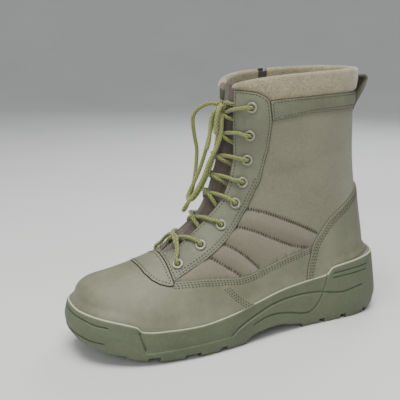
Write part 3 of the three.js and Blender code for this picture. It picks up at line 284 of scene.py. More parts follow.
LACE_END_LONG = [[-20, 0.4, 203.8], [-23.2, 0.8, 198], [-25, 0, 188], [-27, -1.6, 178], [-29.8, -2.4, 169.6]]
LACE_END_SHORT = [
    [-15.8, -2.5, 206.8], [-17, -6.4, 208.8], [-20.4, -9.8, 207.2], [-23.6, -11.4, 201.8],
    [-25, -11.4, 194.6], [-25.4, -11.2, 184.5],
]

# The camera's angle to the boot and its lens.
CAMERA = {
    "azimuth": -28.19, "elevation": 14.19, "roll": 0.29, "distance": 608.8, "target": (0, 0, 110),
    "focal": 658.7, "centre": (234.85, 211.99),
}


# The last

def level(z):
    """Height of a level in millimetres."""
    return z * INSTEP_HEIGHT if z <= 1 else INSTEP_HEIGHT + (z - 1) * (BOOT_HEIGHT - INSTEP_HEIGHT)


def side(line):
    """A side view line in millimetres."""
    return np.array([[x * SOLE_LENGTH, level(z)] for x, z in line])


def unit(vectors):
    """Vectors brought to length 1."""
    return vectors / np.maximum(np.linalg.norm(vectors, axis=-1, keepdims=True), 1e-9)


def run_lengths(points):
    """Distance of each point along its line."""
    return np.concatenate([[0], np.cumsum(np.linalg.norm(np.diff(points, axis=0), axis=1))])


def rows_between(at, places, rows):
    """Rows of a table at places along it, on straight lines."""
    return np.stack([np.interp(at, places, column) for column in rows.T], -1)


def height_at(line, x):
    """Height of a side view line at x, in millimetres."""
    return np.interp(x, *side(line).T)


def grid_quads(rings, columns, loop=False):
    """Quads between closed rings of points, and from the last to the first in a loop."""
    index = np.arange(rings * columns).reshape(rings, columns)
    quads = np.stack([
        index, np.roll(index, -1, 1), np.roll(index, (-1, -1), (0, 1)), np.roll(index, -1, 0),
    ], -1)
    return (quads if loop else quads[:-1]).reshape(-1, 4)


def tube_faces(rings, columns):
    """Quads between rings, and a cap at each end."""
    last = (rings - 1) * columns
    caps = [list(range(columns))[::-1], list(range(last, last + columns))]
    return grid_quads(rings, columns).tolist() + caps


def joined(parts):
    """Points and faces of several meshes as one."""
    points, faces, total = [], [], 0
    for some, some_faces in parts:
        points.append(some)
        faces += [[k + total for k in face] for face in some_faces]
        total += len(some)
    return np.vstack(points), faces


def sole_line(line):
    return np.array([[x * SOLE_LENGTH, z * RIM_HEIGHT] for x, z in line])


def smooth_rows(rows, at, before):
    """Rows of a table at places between its rows."""
    rows = np.asarray(rows, float)
    table = np.vstack([before, rows, 2 * rows[-1] - rows[-2]])
    at = np.asarray(at, float)
    index = np.clip(np.floor(at).astype(int), 0, len(rows) - 2)
    t = (at - index)[..., None]
    a, b, c, d = (table[index + k] for k in range(4))
    return 0.5 * (
        2 * b + (c - a) * t + (2 * a - 5 * b + 4 * c - d) * t**2 + (-a + 3 * b - 3 * c + d) * t**3
    )


def last_table():
    rows = []
    for front_x, front_z, back_x, back_z, outer, inner, ridge, *rest in LAST_ROWS:
        ends = [front_x * SOLE_LENGTH, level(front_z), back_x * SOLE_LENGTH, level(back_z)]
        rows.append([*ends, outer * BALL_WIDTH, inner * BALL_WIDTH, ridge * BALL_WIDTH, *rest])
    return np.array(rows)


LAST = last_table()
BEFORE_TOE = LAST[1][[2, 3, 0, 1, 5, 4, 6, 7, 8, 9]]


def last_point(station, turn):
    """Points of the last, in millimetres."""
    station, turn = np.broadcast_arrays(np.asarray(station, float), np.asarray(turn, float))
    row = smooth_rows(LAST, station, BEFORE_TOE)
    wrapped = (turn + 1) % 2 - 1
    angle = np.abs(wrapped) * np.pi
    front = angle <= np.pi / 2
    power = 2 / np.where(front, row[..., 8], row[..., 9])
    cosine = np.abs(np.cos(angle)) ** power
    sine = np.abs(np.sin(angle)) ** power
    wide = row[..., 7]
    reach = np.where(front, wide * (1 - cosine), wide + (1 - wide) * cosine)
    width = np.where(wrapped < 0, row[..., 4], row[..., 5])
    return np.stack([
        row[..., 0] + (row[..., 2] - row[..., 0]) * reach,
        row[..., 6] + (width - row[..., 6]) * sine,
        row[..., 1] + (row[..., 3] - row[..., 1]) * reach,
    ], -1)


def last_normal(station, turn):
    step = 0.02
    station = np.asarray(station, float)
    up = last_point(station + step, turn) - last_point(np.maximum(station - step, 0), turn)
    across = last_point(station, turn + step) - last_point(station, turn - step)
    return unit(np.cross(up, across))


def surface(station, turn, offset):
    return last_point(station, turn) + last_normal(station, turn) * np.asarray(offset)[..., None]


def turn_at(station, girth, hand):
    """The turn at a girth from the ridge."""
    turns = np.linspace(0, 1, 241)
    points = last_point(np.full(241, float(station)), hand * turns)
    return hand * float(np.interp(girth, run_lengths(points), turns))


def ridge_y(station):
    return smooth_rows(LAST, station, BEFORE_TOE)[..., 6]


# Skins: triangle meshes on the last, with numbers at each vertex

class Skin:
    """Points and normals at offset 0, triangles, and named numbers at each vertex."""

    def __init__(self, points, normals, triangles, values):
        self.points = points
        self.normals = normals
        self.triangles = triangles
        self.values = values

    def only(self, keep):
        """The triangles with a vertex in a mask."""
        return self.packed(self.triangles[keep[self.triangles].any(1)])

    def packed(self, triangles):
        used, inverse = np.unique(triangles.ravel(), return_inverse=True)
        values = {name: value[used] for name, value in self.values.items()}
        return Skin(self.points[used], self.normals[used], inverse.reshape(-1, 3), values)


def cut(skin, name, at=0.0, drop=True):
    """Splits the triangles where a number passes a value, and drops those below it."""
    height = skin.values[name] - at
    height = np.where(np.abs(height) < 1e-4, 1e-4, height)
    tri = skin.triangles
    up = height[tri] > 0
    count = up.sum(1)
    mixed = (count == 1) | (count == 2)
    if not mixed.any():
        return skin.packed(tri[count == 3] if drop else tri)
    lone_up = count[mixed] == 1
    flags = up[mixed]
    lone = np.where(lone_up, flags.argmax(1), (~flags).argmax(1))
    rows = np.arange(len(lone))
    corners = tri[mixed]
    a = corners[rows, lone]
    b = corners[rows, (lone + 1) % 3]
    c = corners[rows, (lone + 2) % 3]
    pairs = np.sort(np.concatenate([np.stack([a, b], 1), np.stack([a, c], 1)]), axis=1)
    edges, inverse = np.unique(pairs, axis=0, return_inverse=True)
    inverse = inverse.ravel()
    first, second = edges[:, 0], edges[:, 1]
    share = (height[first] / (height[first] - height[second]))[:, None]

    def mix(value):
        weight = share if value.ndim > 1 else share[:, 0]
        return np.concatenate([value, value[first] * (1 - weight) + value[second] * weight])

    count_before = len(skin.points)
    ab = count_before + inverse[: len(a)]
    ac = count_before + inverse[len(a):]
    tips = np.stack([a, ab, ac], 1)
    bases = np.concatenate([np.stack([ab, b, c], 1), np.stack([ab, c, ac], 1)])
    if drop:
        twice = np.concatenate([~lone_up, ~lone_up])
        pieces = [tri[count == 3], tips[lone_up], bases[twice]]
    else:
        pieces = [tri[~mixed], tips, bases]
    values = {key: mix(value) for key, value in skin.values.items()}
    made = Skin(mix(skin.points), unit(mix(skin.normals)), np.concatenate(pieces), values)
    return made.packed(made.triangles)


def base_skin():
    """The whole last as a fine skin."""
    stations = np.concatenate([
        np.arange(0.06, 1, 0.1), np.arange(1, 4, 0.09), np.arange(4, 10, 0.08),
        np.arange(10, LAST_TOP + 0.01, 0.066),
    ])
    turns = -1 + 2 * np.arange(168) / 168
    grid_station, grid_turn = np.meshgrid(stations, turns, indexing="ij")
    points = last_point(grid_station, grid_turn)
    normals = last_normal(grid_station, grid_turn)
    rings, columns = grid_station.shape
    quads = grid_quads(rings, columns)
    triangles = np.concatenate([quads[:, :3], quads[:, [0, 2, 3]]])[:, ::-1]
    around = np.arange(columns)
    fan = np.stack([around, np.roll(around, -1), np.full(columns, rings * columns)], 1)
    half = columns // 2
    steps = np.linalg.norm(np.diff(points, axis=1, append=points[:, :1]), axis=2)
    girth = np.zeros_like(grid_turn)
    girth[:, half + 1:] = np.cumsum(steps[:, half:-1], axis=1)
    girth[:, :half] = np.cumsum(steps[:, :half][:, ::-1], axis=1)[:, ::-1]
    run = np.cumsum(np.linalg.norm(np.diff(points, axis=0, prepend=points[:1]), axis=2), axis=0)
    run = np.repeat(run.mean(1)[:, None], columns, axis=1)
    values = {
        name: np.append(value.ravel(), 0.0)
        for name, value in (("station", grid_station), ("girth", girth), ("run", run))
    }
    points = np.vstack([points.reshape(-1, 3), last_point(0.0, 0.0)[None]])
    normals = np.vstack([normals.reshape(-1, 3), [[-1.0, 0, 0]]])
    return outward(Skin(points, normals, np.vstack([triangles, fan]), values))


def outward(skin):
    """Turns the triangles so that they face along the normals."""
    a, b, c = (skin.points[skin.triangles[:, k]] for k in range(3))
    facing = (np.cross(b - a, c - a) * skin.normals[skin.triangles[:, 0]]).sum(1)
    skin.triangles = np.where((facing < 0)[:, None], skin.triangles[:, ::-1], skin.triangles)
    return skin


def line_distance(points, line, closed=False):
    """Distance of 2D points from a line."""
    ends = np.vstack([line, line[:1]]) if closed else line
    best = np.full(len(points), 1e9)
    for (x0, y0), (x1, y1) in zip(ends[:-1], ends[1:]):
        run = np.array([x1 - x0, y1 - y0])
        length = max((run**2).sum(), 1e-9)
        t = np.clip(((points - [x0, y0]) @ run) / length, 0, 1)
        best = np.minimum(best, np.linalg.norm(points - [x0, y0] - t[:, None] * run, axis=1))
    return best


def inside_distance(points, outline):
    """Distance from an outline, positive inside it."""
    distance = line_distance(points, outline, closed=True)
    inside = np.zeros(len(points), bool)
    x, y = points[:, 0], points[:, 1]
    ends = np.vstack([outline, outline[:1]])
    for (x0, y0), (x1, y1) in zip(ends[:-1], ends[1:]):
        if y0 == y1:
            continue
        crosses = (y0 > y) != (y1 > y)
        inside ^= crosses & (x < x0 + (y - y0) / (y1 - y0) * (x1 - x0))
    return np.where(inside, distance, -distance)


def true_distance(skin, field, reach=12.0):
    """A projected distance put right for how steeply the skin crosses the view."""
    tri = skin.triangles
    a, b, c = (skin.points[tri[:, k]] for k in range(3))
    normal = np.cross(b - a, c - a)
    double = np.maximum(np.linalg.norm(normal, axis=1), 1e-9)
    normal /= double[:, None]
    slope = (
        field[tri[:, 0], None] * np.cross(normal, c - b)
        + field[tri[:, 1], None] * np.cross(normal, a - c)
        + field[tri[:, 2], None] * np.cross(normal, b - a)
    ) / double[:, None]
    size = np.linalg.norm(slope, axis=1)
    total = np.bincount(tri.ravel(), np.repeat(size * double, 3), len(field))
    weight = np.bincount(tri.ravel(), np.repeat(double, 3), len(field))
    mean = total / np.maximum(weight, 1e-9)
    return np.where(np.abs(field) < reach, field / np.clip(mean, 0.3, 1.2), field)


def smooth(t):
    t = np.clip(t, 0, 1)
    return t * t * (3 - 2 * t)


def hump(distance, width):
    return np.exp(-((distance / width) ** 2))


# Meshes and materials

def add_mesh(name, points, faces, material=None, crease=None, uv=None, values=None, check=False):
    """A smooth mesh from points in millimetres."""
    mesh = bpy.data.meshes.new(name)
    faces = faces if isinstance(faces, list) else faces.tolist()
    mesh.from_pydata((np.asarray(points) * MM).tolist(), [], faces)
    if check:
        mesh.validate()
    mesh.update()
    if uv is not None:
        corner = np.zeros(len(mesh.loops), np.int32)
        mesh.loops.foreach_get("vertex_index", corner)
        layer = mesh.uv_layers.new(name="UVMap")
        layer.data.foreach_set("uv", (uv * MM)[corner].astype(np.float32).ravel())
    for key, value in (values or {}).items():
        attribute = mesh.attributes.new(key, "FLOAT", "POINT")
        attribute.data.foreach_set("value", np.asarray(value, np.float32))
    mesh.shade_smooth()
    if crease:
        mesh.set_sharp_from_angle(angle=math.radians(crease))
    obj = bpy.data.objects.new(name, mesh)
    bpy.context.scene.collection.objects.link(obj)
    if material:
        mesh.materials.append(material)
    return obj


def finish_piece(obj, slot, *nodes, body="boot"):
    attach(obj, body)
    if nodes:
        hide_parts(*nodes)
    return obj


def border(triangles):
    """Edges with one triangle, in their direction."""
    edges = np.concatenate([triangles[:, [0, 1]], triangles[:, [1, 2]], triangles[:, [2, 0]]])
    key = np.sort(edges, axis=1)
    _, first, count = np.unique(key, axis=0, return_index=True, return_counts=True)
    return edges[first[count == 1]]


def thick(name, skin, outer, inner, material, values=None):
    """A closed piece between two offsets of a skin."""
    count = len(skin.points)
    top = skin.points + skin.normals * outer[:, None]
    low = skin.points + skin.normals * np.broadcast_to(inner, (count,))[:, None]
    rim = border(skin.triangles)
    walls = np.concatenate([
        np.stack([rim[:, 1], rim[:, 0], rim[:, 0] + count], 1),
        np.stack([rim[:, 1], rim[:, 0] + count, rim[:, 1] + count], 1),
    ])
    faces = np.concatenate([skin.triangles, skin.triangles[:, ::-1] + count, walls])
    uv = np.tile(np.stack([skin.values["girth"], skin.values["run"]], 1), (2, 1))
    doubled = {key: np.tile(value, 2) for key, value in (values or {}).items()}
    return add_mesh(name, np.vstack([top, low]), faces, material, 38, uv, doubled, True)


class Nodes:
    """Short calls that build a material's nodes."""

    def __init__(self, name):
        self.material = bpy.data.materials.new(name)
        self.material.use_nodes = True
        self.tree = self.material.node_tree
        self.shader = self.tree.nodes["Principled BSDF"]

    def add(self, kind, inputs=None, **settings):
        node = self.tree.nodes.new(kind)
        for key, value in settings.items():
            setattr(node, key, value)
        for key, value in (inputs or {}).items():
            self.put(node.inputs[key], value)
        return node

    def put(self, socket, value):
        if isinstance(value, bpy.types.NodeSocket):
            self.tree.links.new(value, socket)
        else:
            socket.default_value = value

    def coordinates(self, scale=(1, 1, 1), source="Object"):
        where = self.add("ShaderNodeTexCoord")
        return self.add("ShaderNodeMapping", {"Vector": where.outputs[source], "Scale": scale}).outputs[0]

    def noise(self, vector, scale, detail=4.0, roughness=0.55):
        inputs = {"Vector": vector, "Scale": scale, "Detail": detail, "Roughness": roughness}
        return self.add("ShaderNodeTexNoise", inputs).outputs["Fac"]

    def ramp(self, value, stops):
        node = self.add("ShaderNodeValToRGB", {"Fac": value})
        points = node.color_ramp.elements
        while len(points) < len(stops):
            points.new(0.5)
        for point, (place, colour) in zip(points, stops):
            point.position = place
            point.color = (*colour, 1)
        return node.outputs["Color"]

    def mottle(self, first, second, share, dark, light, spread=0.14):
        """Two noises mixed into one tone, from a dark to a light colour."""
        first, second = self.maths("MULTIPLY", first, share), self.maths("MULTIPLY", second, 1 - share)
        return self.ramp(self.maths("ADD", first, second), [(0.5 - spread, dark), (0.5 + spread, light)])

    def grey(self, value, low, high, to_low, to_high):
        inputs = {"Value": value, "From Min": low, "From Max": high, "To Min": to_low, "To Max": to_high}
        return self.add("ShaderNodeMapRange", inputs).outputs[0]

    def maths(self, operation, a, b=0.0):
        node = self.add("ShaderNodeMath", operation=operation)
        self.put(node.inputs[0], a)
        self.put(node.inputs[1], b)
        return node.outputs[0]

    def mix(self, factor, a, b, blend="MIX"):
        node = self.add("ShaderNodeMix", data_type="RGBA", blend_type=blend)
        self.put(node.inputs["Factor"], factor)
        for socket, value in ((node.inputs[6], a), (node.inputs[7], b)):
            self.put(socket, value if isinstance(value, bpy.types.NodeSocket) else (*value, 1))
        return node.outputs[2]

    def attribute(self, name):
        return self.add("ShaderNodeAttribute", attribute_name=name).outputs["Fac"]

    def bump(self, height, strength, distance, normal=None):
        node = self.add("ShaderNodeBump", {"Height": height, "Strength": strength, "Distance": distance})
        if normal is not None:
            self.put(node.inputs["Normal"], normal)
        return node.outputs[0]

    def finish(self, colour, roughness, normal=None, metallic=0.0, **extra):
        self.put(self.shader.inputs["Base Color"], colour)
        self.put(self.shader.inputs["Roughness"], roughness)
        self.shader.inputs["Metallic"].default_value = metallic
        if normal is not None:
            self.put(self.shader.inputs["Normal"], normal)
        for key, value in extra.items():
            self.shader.inputs[key.replace("_", " ")].default_value = value
        return self.material


def leather_material(name, dark, light):
    """Smooth grained leather, paler where it is rubbed along its edges."""
    n = Nodes(name)
    where = n.coordinates()
    broad = n.noise(where, 22.0, 3.0)
    fine = n.noise(where, 190.0, 5.0, 0.65)
    colour = n.mottle(broad, fine, 0.65, dark, light)
    near = n.grey(n.attribute("edge"), 0.5, 2.0, 1.0, 0.0)
    rubbed = n.maths("MULTIPLY", near, n.grey(n.noise(where, 120.0), 0.35, 0.7, 0.1, 1.0))
    colour = n.mix(n.maths("MULTIPLY", rubbed, 0.3), colour, tuple(c * 1.3 for c in light))
    raw = n.grey(n.attribute("edge"), 0.25, 0.6, 0.7, 0.0)
    colour = n.mix(raw, colour, tuple(c * 0.3 for c in dark))
    grain = n.add("ShaderNodeTexVoronoi", {"Vector": where, "Scale": 900.0}, feature="DISTANCE_TO_EDGE")
    pebble = n.bump(grain.outputs["Distance"], 0.25, 0.0004)
    normal = n.bump(n.noise(where, 60.0, 4.0), 0.18, 0.0012, pebble)
    return n.finish(colour, n.grey(fine, 0.3, 0.7, 0.48, 0.66), normal, Specular_IOR_Level=0.42)


def woven_material(name, dark, light, thread=0.7, sheen=0.25, bump=0.5):
    """Plain weave whose threads run along the skin's own girth and run."""
    n = Nodes(name)
    where = n.coordinates()
    cloth = n.coordinates((1000 / thread, 1000 / thread, 1), "UV")
    threads = {"Vector": cloth, "Scale": 0.5, "Distortion": 0.6, "Detail": 1.0}
    warp, weft = (
        n.add("ShaderNodeTexWave", threads, bands_direction=axis).outputs["Fac"] for axis in "XY"
    )
    weave = n.maths("MULTIPLY", warp, weft)
    fleck = n.noise(where, 420.0, 3.0, 0.7)
    colour = n.mottle(n.noise(where, 16.0, 4.0), fleck, 0.55, dark, light)
    colour = n.mix(n.grey(weave, 0.0, 0.6, 0.3, 0.0), colour, tuple(c * 0.5 for c in dark))
    colour = n.mix(n.maths("MULTIPLY", n.attribute("zone"), 0.35), colour, (0.172, 0.143, 0.108))
    normal = n.bump(weave, bump, 0.0004, n.bump(fleck, 0.15, 0.0006))
    return n.finish(colour, n.grey(fleck, 0.3, 0.7, 0.8, 0.95), normal,
                    Sheen_Weight=sheen, Sheen_Roughness=0.5, Specular_IOR_Level=0.25)


def suede_material(name, dark, light):
    """Short napped suede with brushed patches."""
    n = Nodes(name)
    where = n.coordinates()
    nap = n.noise(where, 560.0, 4.0, 0.75)
    colour = n.mottle(n.noise(where, 38.0, 4.0, 0.6), nap, 0.35, dark, light, 0.1)
    normal = n.bump(nap, 0.7, 0.0010)
    return n.finish(colour, 0.95, normal, Sheen_Weight=0.5, Sheen_Roughness=0.4, Specular_IOR_Level=0.15)


def rubber_material(name, dark, light):
    """Matt moulded rubber, with a painted highlight on its lip and painted shade in its grooves."""
    n = Nodes(name)
    where = n.coordinates()
    broad = n.noise(where, 18.0, 4.0)
    fine = n.noise(where, 380.0, 4.0, 0.7)
    colour = n.mottle(broad, fine, 0.6, dark, light)
    # Painted highlight: the rubber turns pale along the outer top edge of its lip.
    lip_highlight = n.grey(n.attribute("lip_highlight"), 0.35, 1.0, 0.0, 0.85)
    colour = n.mix(lip_highlight, colour, (0.5, 0.52, 0.36))
    # Painted shade: the rubber darkens in the grooves cut into its side.
    groove_and_shade = n.grey(n.attribute("groove_and_shade"), 0.2, 1.0, 0.0, 0.6)
    colour = n.mix(groove_and_shade, colour, tuple(c * 0.35 for c in dark))
    normal = n.bump(fine, 0.22, 0.0005, n.bump(n.noise(where, 90.0, 3.0), 0.08, 0.001))
    return n.finish(colour, n.grey(broad, 0.3, 0.7, 0.5, 0.68), normal, Specular_IOR_Level=0.4)


def plain_material(name, dark, light, roughness=0.6, metallic=0.0, scale=260.0, bump=0.12):
    """Metal and thread: a fine mottle with a slight relief."""
    n = Nodes(name)
    fine = n.noise(n.coordinates(), scale, 4.0, 0.6)
    colour = n.ramp(fine, [(0.36, dark), (0.66, light)])
    normal = n.bump(fine, bump, 0.0004)
    return n.finish(colour, n.grey(fine, 0.3, 0.7, roughness - 0.06, roughness + 0.06), normal, metallic)


def eyelet_material():
    """Enamel worn through to bright metal on the crown of the ring."""
    n = Nodes("eyelet_enamel")
    chips = n.noise(n.coordinates(), 900.0, 4.0, 0.7)
    worn = n.maths("MULTIPLY", n.attribute("crown"), n.grey(chips, 0.4, 0.6, 0.35, 1.0))
    colour = n.mix(n.grey(worn, 0.3, 0.8, 0.0, 1.0), (0.175, 0.185, 0.120), (0.27, 0.28, 0.20))
    normal = n.bump(chips, 0.1, 0.0002)
    return n.finish(colour, n.grey(worn, 0.2, 0.8, 0.4, 0.3), normal, 0.15)


def lace_material():
    """Braided green cord, with painted shade in the braid's crevices and a painted highlight on its crests.
    """
    n = Nodes("lace_braid")
    fuzz = n.noise(n.coordinates(), 1200.0, 3.0, 0.7)
    # Painted shade where the braid dips and a painted highlight on its crests.
    base = n.ramp(n.attribute("braid_relief_and_shade"), [
        (0.3, (0.03, 0.036, 0.010)), (0.7, (0.145, 0.165, 0.045)), (0.97, (0.27, 0.285, 0.095)),
    ])
    colour = n.mix(n.grey(fuzz, 0.42, 0.7, 0.0, 0.35), base, (0.38, 0.40, 0.17))
    normal = n.bump(fuzz, 0.25, 0.0003)
    return n.finish(colour, 0.85, normal, Sheen_Weight=0.3, Specular_IOR_Level=0.25)


LEATHER = leather_material("leather", (0.130, 0.135, 0.087), (0.196, 0.199, 0.135))
STAY_LEATHER = leather_material("stay_leather", (0.106, 0.112, 0.072), (0.164, 0.169, 0.114))
NYLON = woven_material("nylon", (0.186, 0.177, 0.119), (0.274, 0.260, 0.182))
# Pinkish tongue cloth, darkened as painted shade of the deep throat it sits in.
SHADED_TONGUE_CLOTH = woven_material("tongue_cloth_shaded", (0.075, 0.060, 0.050), (0.135, 0.108, 0.092))
LINING = woven_material("lining", (0.040, 0.037, 0.032), (0.075, 0.070, 0.060), 0.9, 0.1, 0.35)
SUEDE = suede_material("collar_suede", (0.205, 0.180, 0.112), (0.372, 0.328, 0.216))
RUBBER = rubber_material("sole_rubber", (0.074, 0.088, 0.051), (0.112, 0.128, 0.077))
WEBBING = woven_material("webbing", (0.110, 0.112, 0.075), (0.160, 0.162, 0.112), 1.1, 0.2, 0.8)
TAPE = woven_material("zip_tape", (0.018, 0.016, 0.022), (0.045, 0.040, 0.050), 0.6, 0.1, 0.5)
THREAD = plain_material("thread", (0.022, 0.022, 0.014), (0.052, 0.052, 0.034), 0.75)
METAL = plain_material("zip_metal", (0.085, 0.095, 0.085), (0.150, 0.160, 0.145), 0.35, 0.8, 500.0)
FOAM = woven_material("footbed_cloth", (0.030, 0.030, 0.026), (0.060, 0.058, 0.050), 0.9, 0.1, 0.4)
ENAMEL = eyelet_material()
BRAID = lace_material()


# Camera

def make_camera():
    azimuth, elevation = math.radians(CAMERA["azimuth"]), math.radians(CAMERA["elevation"])
    back = Vector((
        math.sin(azimuth) * math.cos(elevation), -math.cos(azimuth) * math.cos(elevation),
        math.sin(elevation),
    ))
    right = Vector((math.cos(azimuth), math.sin(azimuth), 0))
    up = back.cross(right)
    roll = math.radians(CAMERA["roll"])
    rolled_right = right * math.cos(roll) + up * math.sin(roll)
    rolled_up = up * math.cos(roll) - right * math.sin(roll)
    data = bpy.data.cameras.new("camera")
    data.sensor_width = 36
    data.lens = CAMERA["focal"] / PHOTO * data.sensor_width
    centre_x, centre_y = CAMERA["centre"]
    data.shift_x = (PHOTO / 2 - centre_x) / PHOTO
    data.shift_y = (centre_y - PHOTO / 2) / PHOTO
    camera = bpy.data.objects.new("camera", data)
    place = (Vector(CAMERA["target"]) + back * CAMERA["distance"]) * MM
    axes = Matrix((rolled_right, rolled_up, back)).transposed().to_4x4()
    camera.matrix_world = Matrix.Translation(place) @ axes
    bpy.context.scene.collection.objects.link(camera)
    bpy.context.scene.camera = camera


make_camera()


# Laces

def smooth_path(route, spacing):
    """Points evenly spaced on a smooth curve through a route, in millimetres."""
    route = np.array(route, float)
    ends = np.vstack([2 * route[0] - route[1], route, 2 * route[-1] - route[-2]])
    gaps = np.maximum(np.linalg.norm(np.diff(ends, axis=0), axis=1), 1e-6) ** 0.5
    fine = []
    for k in range(len(route) - 1):
        a, b, c, d = ends[k: k + 4]
        t0, t1, t2, t3 = np.cumsum([0, *gaps[k: k + 3]])
        t = np.linspace(t1, t2, 24, endpoint=False)[:, None]

        def between(p, q, start, end):
            return (p * (end - t) + q * (t - start)) / (end - start)

        middle = between(b, c, t1, t2)
        before = between(between(a, b, t0, t1), middle, t0, t2)
        after = between(middle, between(c, d, t2, t3), t1, t3)
        fine.append(between(before, after, t1, t2))
    fine = np.vstack([*fine, route[-1:]])
    lengths = run_lengths(fine)
    count = max(int(lengths[-1] / spacing), 4)
    return rows_between(np.linspace(0, lengths[-1], count + 1), lengths, fine), lengths[-1]


def carried_frames(path):
    """Directions across a path, without a twist."""
    along = unit(np.gradient(path, axis=0))
    across = np.zeros_like(path)
    start = np.cross(along[0], [0, 0, 1.0])
    if np.linalg.norm(start) < 1e-3:
        start = np.cross(along[0], [0, 1.0, 0])
    across[0] = unit(start)
    for k in range(1, len(path)):
        across[k] = unit(across[k - 1] - along[k] * (across[k - 1] @ along[k]))
    return across, np.cross(along, across)


def braided_tube(path, diameter, sides=14, tips=(False, False)):
    """Points, faces and braid heights of a braided cord along a path; the heights also set the lace's painted
    shade and highlight.
    """
    across, up = carried_frames(path)
    angle = np.arange(sides) * 2 * math.pi / sides
    place = np.arange(len(path)) * np.linalg.norm(np.diff(path, axis=0), axis=1).mean()
    twist = (place * math.pi / BRAID_TURN)[:, None]
    braid_relief_and_shade = 0.5 + 0.5 * np.maximum(np.cos(4 * (angle + twist)), np.cos(4 * (angle - twist)))
    radius = diameter / 2 * (0.9 + 0.1 * braid_relief_and_shade)
    for from_end, shut in zip((place, place[-1] - place), tips):
        if shut:
            radius *= np.sqrt(np.clip(from_end / (0.35 * diameter), 0.08, 1))[:, None]
    points = (
        path[:, None] + across[:, None] * (radius * np.cos(angle))[..., None]
        + up[:, None] * (radius * np.sin(angle))[..., None]
    )
    return points.reshape(-1, 3), tube_faces(len(path), sides), braid_relief_and_shade.ravel()


def joined_tubes(name, paths, diameter, **shape):
    tubes = [braided_tube(path, diameter, **shape) for path in paths]
    points, faces = joined([tube[:2] for tube in tubes])
    return add_mesh(name, points, faces, BRAID, values={"braid_relief_and_shade": np.concatenate([tube[2] for tube in tubes])})


def make_cord(name, route, node, far_end):
    path, length = smooth_path(route, 0.7)
    obj = joined_tubes(name, [path], FREE_LACE, tips=(False, far_end == "bare"))
    finish_piece(obj, "lace", node)


make_cord("bow_loop_long", BOW_LOOP_LONG, "lace_bow_long", "knot")
make_cord("bow_loop_short", BOW_LOOP_SHORT, "lace_bow_short", "knot")
make_cord("lace_tip_long", LACE_END_LONG, "lace_end_long", "bare")
make_cord("lace_tip_short", LACE_END_SHORT, "lace_end_short", "bare")


def eyelet_place(index, hand):
    share = index / (EYELETS - 1)
    station = FIRST_EYELET + (LAST_EYELET - FIRST_EYELET) * share * (0.83 + 0.17 * share)
    girth = THROAT_HALF + EYELET_INSET + EYELET_FLARE * share
    return station, turn_at(station, girth, hand), girth


def bulge(station):
    stations, heights = zip(*TONGUE_BULGE)
    return float(np.interp(station, stations, heights))


def on_last(station, girth, hand, offset):
    return surface(np.array(station), np.array(turn_at(station, girth, hand)), np.array(offset))


def behind_stay(index, hand):
    """Where a lace lies behind an eyelet."""
    station, _, girth = eyelet_place(index, hand)
    return on_last(station + 0.1, girth - 1.1, hand, -UPPER_WALL - 3.2)


def hole_end(index, hand):
    """Points down through an eyelet from above its flange to behind it."""
    station, _, girth = eyelet_place(index, hand)
    return [
        on_last(station, girth - 0.5, hand, LACE_OVER - 0.7),
        on_last(station, girth + 0.3, hand, -0.6),
        behind_stay(index, hand),
    ]


def tongue_lift(station):
    """Height of a lace's middle where it crosses the tongue."""
    return max(bulge(station) + GAP + 0.5, 1) + LACE / 2


def lace_strand(index, hand):
    """From behind the far eyelet below, under its stay, across the tongue and into an eyelet."""
    station, _, girth = eyelet_place(index, hand)
    low, _, low_girth = eyelet_place(index - 1, -hand)
    rise = station - low
    sag = STRAND_SAGS[index] * rise
    middle = low + (0.4 + 0.04 * hand) * rise + sag
    lift = tongue_lift(middle) + (1.9 if hand > 0 else -0.6)
    slack = 1.6 * math.sin(2.1 * index + hand)
    half = THROAT_HALF
    return [
        behind_stay(index - 1, -hand),
        on_last(low + 0.12, low_girth - 5.0, -hand, -UPPER_WALL - 3.0),
        on_last(low + 0.22 * rise, half + 3.0, -hand, -UPPER_WALL - 2.6),
        on_last(low + 0.27 * rise, half - 1.8, -hand, 0.4),
        on_last(low + 0.33 * rise + sag, half * 0.5, -hand, lift * 0.72),
        on_last(middle, abs(slack), 1 if slack > 0 else -1, lift),
        on_last(low + 0.52 * rise + sag, half * 0.55, hand, lift * 0.8),
        on_last(station - 0.33 * rise + sag, half + 0.8, hand, LACE_OVER - 0.4),
        on_last(station - 0.16 * rise + sag, (half + girth) / 2, hand, LACE_OVER - 0.15),
        on_last(station - 0.04 * rise, girth - 3.7, hand, LACE_OVER + 0.9),
        *hole_end(index, hand),
    ]


def low_bar():
    """Across the tongue between the lowest pair, outside."""
    station, _, girth = eyelet_place(0, -1)
    lift = tongue_lift(station + 0.5) + 1.4
    half = []
    for hand in (-1, 1):
        half.append([
            *hole_end(0, hand)[::-1],
            on_last(station + 0.05, girth - 3.7, hand, LACE_OVER + 0.9),
            on_last(station + 0.2, (THROAT_HALF + girth) / 2, hand, LACE_OVER),
            on_last(station + 0.4, THROAT_HALF - 0.5, hand, LACE_OVER + 0.4),
            on_last(station + 0.52, THROAT_HALF * 0.45, hand, lift * 0.95),
        ])
    return [*half[0], *half[1][::-1]]


def top_end(hand):
    """From behind a top eyelet, under its stay and up to the knot."""
    station, _, girth = eyelet_place(EYELETS - 1, hand)
    return [
        behind_stay(EYELETS - 1, hand),
        on_last(station + 0.05, girth - 7, hand, -UPPER_WALL - 3.0),
        on_last(station - 0.1, THROAT_HALF + 2.5, hand, -UPPER_WALL - 2.4),
        on_last(station - 0.2, THROAT_HALF - 2.2, hand, 0.3),
        on_last(station - 0.15, THROAT_HALF * 0.45, hand, 3.4),
        np.array(KNOT_PLACE) + [0.65 * KNOT, hand * 0.74 * KNOT, 0.3 * KNOT],
    ]


